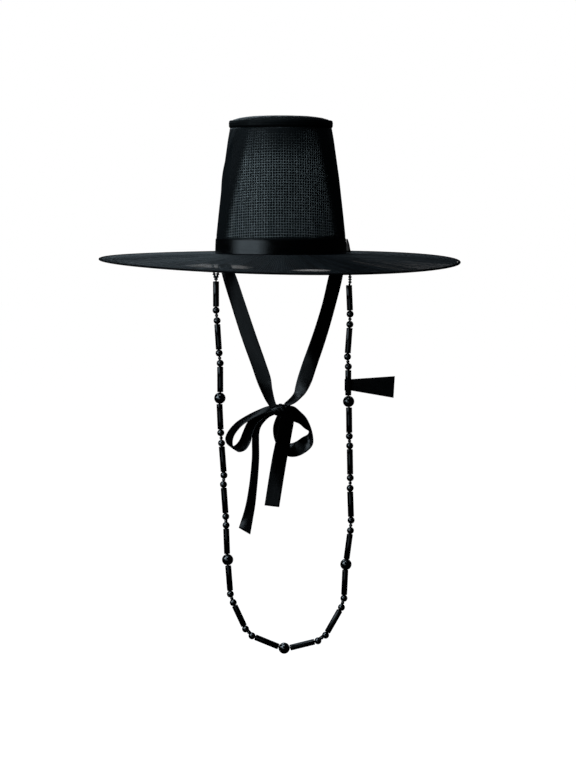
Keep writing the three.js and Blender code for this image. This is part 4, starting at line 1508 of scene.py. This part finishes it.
@dataclass
class BeadString:
    """One side of the long string of beads, from its seed loop at the brim to the lowest bead.

    seed_arm is one arm of the seed loop: how far it stands out and its Z, in millimetres.
    """

    side: Side
    finishes: Finishes
    tube_radius: float = 3.9 * MM
    tube_bevel: float = 0.55 * MM
    small_radius: float = 4.6 * MM
    seed_radius: float = 2.25 * MM
    seed_squash: float = 0.74
    seed_gap: float = 2.0 * MM
    large_radius: float = 7.3 * MM
    thread_radius: float = 1.2 * MM
    thread_clear: float = 0.1 * MM
    tube_sides: int = 20
    small_sides: int = 24
    seed_sides: int = 12
    large_sides: int = 32
    large_after: tuple[int, ...] = (2, 6)
    lowest: Vector = field(default_factory=lambda: Vector((4.1, 0.0, -507.9)) * MM)
    seed_arm: tuple[tuple[float, float], ...] = (
        (0.0, -5.65), (3.4, -7.4), (4.2, -13.0), (2.4, -24.5), (0.0, -31.9),
    )
    seed_spacing: float = 2.05
    arm_steps: int = 60
    thread_every: int = 6
    hang_x: dict[Side, float] = field(default_factory=lambda: {Side.LEFT: -82.7 * MM, Side.RIGHT: 88.0 * MM})

    def build(self) -> None:
        """Builds the string as one joined piece."""
        bm = bmesh.new()
        tubes = TUBES[self.side]
        loop_foot = Vector((self.hang_x[self.side], 0.0, tubes[0].head().z + self.seed_gap))
        self.seed_loop(bm, loop_foot)
        self.thread(bm, loop_foot, tubes[0].head())
        for i, tube in enumerate(tubes):
            self.tube(bm, tube)
            if i + 1 < len(tubes):
                self.joint(bm, tube, tubes[i + 1], i in self.large_after)
        if self.side is Side.LEFT:
            self.ball(bm, self.lowest, self.large_radius, tubes[-1].axis(), self.small_sides)
            self.thread(bm, tubes[-1].foot(), self.lowest)
        else:
            way = (self.lowest - tubes[-1].foot()).normalized()
            short = self.large_radius + self.thread_clear
            self.thread(bm, tubes[-1].foot(), self.lowest - way * short)
        piece = to_piece(f"bead_string_{self.side.value}_beads", bm, self.finishes.tube_bead)
        piece.data.materials.append(self.finishes.round_bead)
        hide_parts(f"bead_string_{self.side.value}")

    def turned(self, place: Vector, axis: Vector) -> Matrix:
        """Returns the matrix that stands a shape's Z axis along an axis at a place."""
        return Matrix.Translation(place) @ axis.to_track_quat("Z", "Y").to_matrix().to_4x4()

    def ball(self, bm: bmesh.types.BMesh, place: Vector, radius: float, axis: Vector, segments: int,
             squash: float = 1.0) -> None:
        """Adds a round bead in the second finish, its poles on the thread.

        Args:
            bm: The mesh to add to.
            place: Its middle.
            radius: Its radius across the thread.
            axis: The way of the thread.
            segments: How many sides it has.
            squash: Its length along the thread, as a share of its width.
        """
        matrix = self.turned(place, axis) @ Matrix.Diagonal((1.0, 1.0, squash, 1.0))
        made = bmesh.ops.create_uvsphere(bm, u_segments=segments, v_segments=segments // 2, radius=radius,
                                         matrix=matrix)
        for vert in made["verts"]:
            for face in vert.link_faces:
                face.material_index = 1

    def thread(self, bm: bmesh.types.BMesh, start: Vector, end: Vector) -> None:
        """Adds a bare stretch of thread.

        Args:
            bm: The mesh to add to.
            start: The middle of one end.
            end: The middle of the other end.
        """
        run = end - start
        bmesh.ops.create_cone(bm, cap_ends=True, segments=6, radius1=self.thread_radius,
                              radius2=self.thread_radius, depth=run.length,
                              matrix=self.turned(start.lerp(end, 0.5), run.normalized()))

    def tube(self, bm: bmesh.types.BMesh, tube: TubeBead) -> None:
        """Adds a tube bead with rounded ends.

        Args:
            bm: The mesh to add to.
            tube: Where the bead is.
        """
        head, foot = tube.head(), tube.foot()
        made = bmesh.ops.create_cone(bm, cap_ends=True, segments=self.tube_sides, radius1=self.tube_radius,
                                     radius2=self.tube_radius, depth=(foot - head).length,
                                     matrix=self.turned(head.lerp(foot, 0.5), tube.axis()))
        corners = set(made["verts"])
        rims = [e for e in bm.edges if set(e.verts) <= corners and len(e.link_faces) == 2
                and any(len(face.verts) > 4 for face in e.link_faces)]
        bmesh.ops.bevel(bm, geom=rims, offset=self.tube_bevel, segments=3, profile=0.5,
                        affect="EDGES", material=-1)

    def joint(self, bm: bmesh.types.BMesh, above: TubeBead, below: TubeBead, is_large: bool) -> None:
        """Adds the beads between two tubes: one large one, or two small ones round a seed bead.

        Args:
            bm: The mesh to add to.
            above: The upper tube bead.
            below: The lower tube bead.
            is_large: Whether one large bead joins them.
        """
        foot, head = above.foot(), below.head()
        self.thread(bm, foot, head)
        if is_large:
            way = (head - foot).normalized()
            self.ball(bm, foot.lerp(head, 0.5), self.large_radius, way, self.large_sides)
            return
        upper = foot + above.axis() * self.small_radius
        lower = head - below.axis() * self.small_radius
        way = (lower - upper).normalized()
        self.ball(bm, upper, self.small_radius, above.axis(), self.small_sides)
        self.ball(bm, upper.lerp(lower, 0.5), self.seed_radius, way, self.seed_sides)
        self.ball(bm, lower, self.small_radius, below.axis(), self.small_sides)

    def seed_loop(self, bm: bmesh.types.BMesh, loop_foot: Vector) -> None:
        """Adds the loop of seed beads; the left one lies across the view and the right one along it.

        Args:
            bm: The mesh to add to.
            loop_foot: The loop's lower end, just above the first tube bead.
        """
        facing = Vector((1.0, 0.0, 0.0)) if self.side is Side.LEFT else Vector((0.0, 1.0, 0.0))
        start, end = self.seed_arm[0][1] * MM, self.seed_arm[-1][1] * MM
        stretch = (loop_foot.z - start) / (end - start)
        spacing = self.seed_spacing * self.seed_radius * self.seed_squash
        for way in (-1.0, 1.0):
            points = [
                Vector((loop_foot.x, 0.0, start + (z * MM - start) * stretch)) + facing * (way * out * MM)
                for out, z in self.seed_arm
            ]
            fine = [catmull(points, i / self.arm_steps) for i in range(self.arm_steps + 1)]
            since = 0.5 * spacing
            for a, b in zip(fine, fine[1:]):
                since += (b - a).length
                if since >= spacing:
                    since -= spacing
                    along = (b - a).normalized()
                    self.ball(bm, b, self.seed_radius, along, self.seed_sides, self.seed_squash)
            self.loop_thread(bm, fine)

    def loop_thread(self, bm: bmesh.types.BMesh, fine: Sequence[Vector]) -> None:
        """Adds the thread through one arm of a seed loop.

        Args:
            bm: The mesh to add to.
            fine: Points close together along the arm.
        """
        for a, b in zip(fine[::self.thread_every], fine[self.thread_every::self.thread_every]):
            self.thread(bm, a, b)


@dataclass
class Label:
    """The bare tab of folded tape that hangs on a tube bead of the right string.

    The path's lengths are in millimetres and its turns in degrees. near and far are the tab's two ends:
    X, then Z of the upper and of the lower edge. ply_share is the part of the tape's length in one ply.
    """

    finishes: Finishes
    tape: float = 0.5 * MM
    tube_x: float = 86.1
    wrap_radius: float = 4.5
    wrap_from: float = 15.0
    wrap_turn: float = 330.0
    ply_gap: float = 0.85
    ply_share: float = 0.46
    near: tuple[float, float, float] = (90.0, -160.0, -174.7)
    far: tuple[float, float, float] = (145.6, -156.2, -184.0)
    slant: float = 1.6
    bow: float = 0.36
    flat_width: float = 28.0 * MM
    flat_length: float = 126.0 * MM
    uv_size: tuple[float, float] = (20.0 * MM, 130.0 * MM)
    columns: int = 8
    lines: int = 96

    def path(self, share: float) -> tuple[float, float, float]:
        """Follows the tape from one free end round the bead to the other.

        Args:
            share: How far along, 0 to 1.

        Returns:
            x and y in millimetres, and how far towards the free end, 0 to 1.
        """
        ply = self.ply_share
        if share <= ply:
            out = 1.0 - share / ply
            return self.near[0] + (self.far[0] - self.near[0]) * out, -self.ply_gap, out
        if share >= 1.0 - ply:
            out = (share - 1.0 + ply) / ply
            return self.near[0] + (self.far[0] - self.near[0]) * out, self.ply_gap, out
        round_share = (share - ply) / (1.0 - 2.0 * ply)
        turn = math.radians(self.wrap_from + round_share * self.wrap_turn)
        return self.tube_x + self.wrap_radius * math.cos(turn), -self.wrap_radius * math.sin(turn), 0.0

    def build(self) -> None:
        """Builds the tape with a slight bow towards its free end."""
        bm = bmesh.new()
        bmesh.ops.create_grid(bm, x_segments=self.columns, y_segments=self.lines, size=0.5)
        wide, long = self.uv_size
        lay_flat_uv(bm, lambda co: ((co.x + 0.5) * wide, (co.y + 0.5) * long))
        for vert in bm.verts:
            across, share = vert.co.x + 0.5, vert.co.y + 0.5
            x, y, out = self.path(share)
            high = self.near[1] + (self.far[1] - self.near[1]) * out
            low = self.near[2] + (self.far[2] - self.near[2]) * out
            bow = self.bow * math.sin(math.pi * out) * math.sin(math.pi * across)
            slid = x - self.slant * out * (1.0 - across)
            vert.co = Vector((slid, y - bow, low + (high - low) * across)) * MM
        bm.normal_update()
        piece = to_piece("label_tab_tape", bm, self.finishes.label)
        thicken(piece, self.tape)
        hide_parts("label_tab")


# Studio

@dataclass(frozen=True)
class Softbox:
    """A soft panel of even brightness that stands round the hat's middle and faces it.

    Angles are in degrees: azimuth round from the front, positive to the camera's right. The distance and
    the size are in metres, and the colour is linear.
    """

    name: str
    azimuth: float
    elevation: float
    distance: float
    size: tuple[float, float]
    radiance: float
    colour: tuple[float, float, float] = (0.72, 0.885, 1.0)

    def build(self) -> None:
        """Adds the light."""
        light = bpy.data.lights.new(self.name, "AREA")
        light.shape = "RECTANGLE"
        light.size, light.size_y = self.size
        light.energy = math.pi * self.size[0] * self.size[1] * self.radiance
        light.color = self.colour
        lamp = bpy.data.objects.new(self.name, light)
        turn, rise = math.radians(self.azimuth), math.radians(self.elevation)
        away = Vector((math.sin(turn) * math.cos(rise), -math.cos(turn) * math.cos(rise), math.sin(rise)))
        lamp.location = away * self.distance
        lamp.rotation_euler = away.to_track_quat("Z", "Y").to_euler()
        lamp.visible_camera = False
        bpy.context.collection.objects.link(lamp)


SOFTBOXES = (
    Softbox("key_softbox", -55.0, 30.0, 1.2, (0.36, 0.32), 4.4),
    Softbox("key_softbox_foot", -57.0, 6.0, 1.2, (1.22, 0.4), 1.65),
    Softbox("low_front_card", -24.0, -14.0, 1.4, (1.2, 0.35), 0.33),
    Softbox("top_softbox", -25.0, 62.0, 1.5, (0.9, 0.7), 3.9),
    Softbox("back_card_left", -148.0, 40.0, 0.8, (0.7, 0.32), 2.35),
    Softbox("back_card_right", 150.0, 32.0, 0.8, (0.75, 0.5), 0.03),
)


@dataclass
class Studio:
    """The pale floor, the soft light and the camera at the photograph's angle."""

    camera_place: tuple[float, float, float] = (0.00904, -3.0, 0.063)
    pitch_down: float = 4.37
    lens: float = 110.3
    sensor: float = 36.0
    clip: tuple[float, float] = (0.05, 60.0)
    floor_z: float = -0.66
    floor_radius: float = 14.0
    ambient: float = 0.0015
    white: tuple[float, float, float, float] = (1.0, 1.0, 1.0, 1.0)

    def build(self) -> None:
        """Builds the camera, the floor, the world and the lights."""
        self.camera()
        self.floor()
        self.world()
        for softbox in SOFTBOXES:
            softbox.build()

    def camera(self) -> None:
        """Adds the camera."""
        data = bpy.data.cameras.new("camera")
        data.lens = self.lens
        data.sensor_width = self.sensor
        data.clip_start, data.clip_end = self.clip
        camera = bpy.data.objects.new("camera", data)
        camera.location = self.camera_place
        camera.rotation_euler = (math.radians(90.0 - self.pitch_down), 0.0, 0.0)
        bpy.context.collection.objects.link(camera)
        bpy.context.scene.camera = camera

    def floor(self) -> None:
        """Adds the pale floor, bright as a lit sweep, which throws no light back on the black cloth."""
        bm = bmesh.new()
        bmesh.ops.create_circle(bm, cap_ends=True, segments=64, radius=self.floor_radius,
                                matrix=Matrix.Translation((0.0, 0.0, self.floor_z)))
        mesh = bpy.data.meshes.new("floor")
        bm.to_mesh(mesh)
        bm.free()
        mesh.materials.append(PaleGround().make())
        floor = bpy.data.objects.new("floor", mesh)
        floor.visible_diffuse = False
        floor.visible_glossy = False
        bpy.context.collection.objects.link(floor)

    def world(self) -> None:
        """Sets the surround: white to look at, and dim as light, so the black cloth stays black."""
        world = bpy.data.worlds.new("white_surround")
        world.use_nodes = True
        tree = world.node_tree
        tree.nodes.clear()
        seen = add_node(tree, "ShaderNodeLightPath").outputs["Is Camera Ray"]
        soft = add_node(tree, "ShaderNodeBackground", {"Color": self.white, "Strength": self.ambient})
        white = add_node(tree, "ShaderNodeBackground", {"Color": self.white, "Strength": 1.0})
        mix = add_node(tree, "ShaderNodeMixShader", {0: seen, 1: soft.outputs[0], 2: white.outputs[0]})
        add_node(tree, "ShaderNodeOutputWorld", {"Surface": mix.outputs[0]})
        bpy.context.scene.world = world
        bpy.context.scene.view_settings.view_transform = "Standard"


def dress_thread_loops(frame: dict, finishes: Finishes) -> None:
    """Gives the thread loops under the brim their sewing-thread finish.

    Args:
        frame: The loaded frame.
        finishes: The hat's finishes.
    """
    for name in ("thread_loop_left", "thread_loop_right"):
        for slot in frame["nodes"][name].material_slots:
            slot.material = finishes.thread


def main() -> None:
    """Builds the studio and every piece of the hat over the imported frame."""
    logging.basicConfig(level=logging.INFO, format="%(message)s")
    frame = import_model()
    Studio().build()
    finishes = Finishes()
    for part in (
        Crown(finishes),
        Brim(finishes),
        Band(finishes),
        Bow(finishes),
        BeadString(Side.LEFT, finishes),
        BeadString(Side.RIGHT, finishes),
        Label(finishes),
    ):
        part.build()
        LOG.info("built %s", type(part).__name__)
    dress_thread_loops(frame, finishes)


if __name__ == "__main__":
    main()
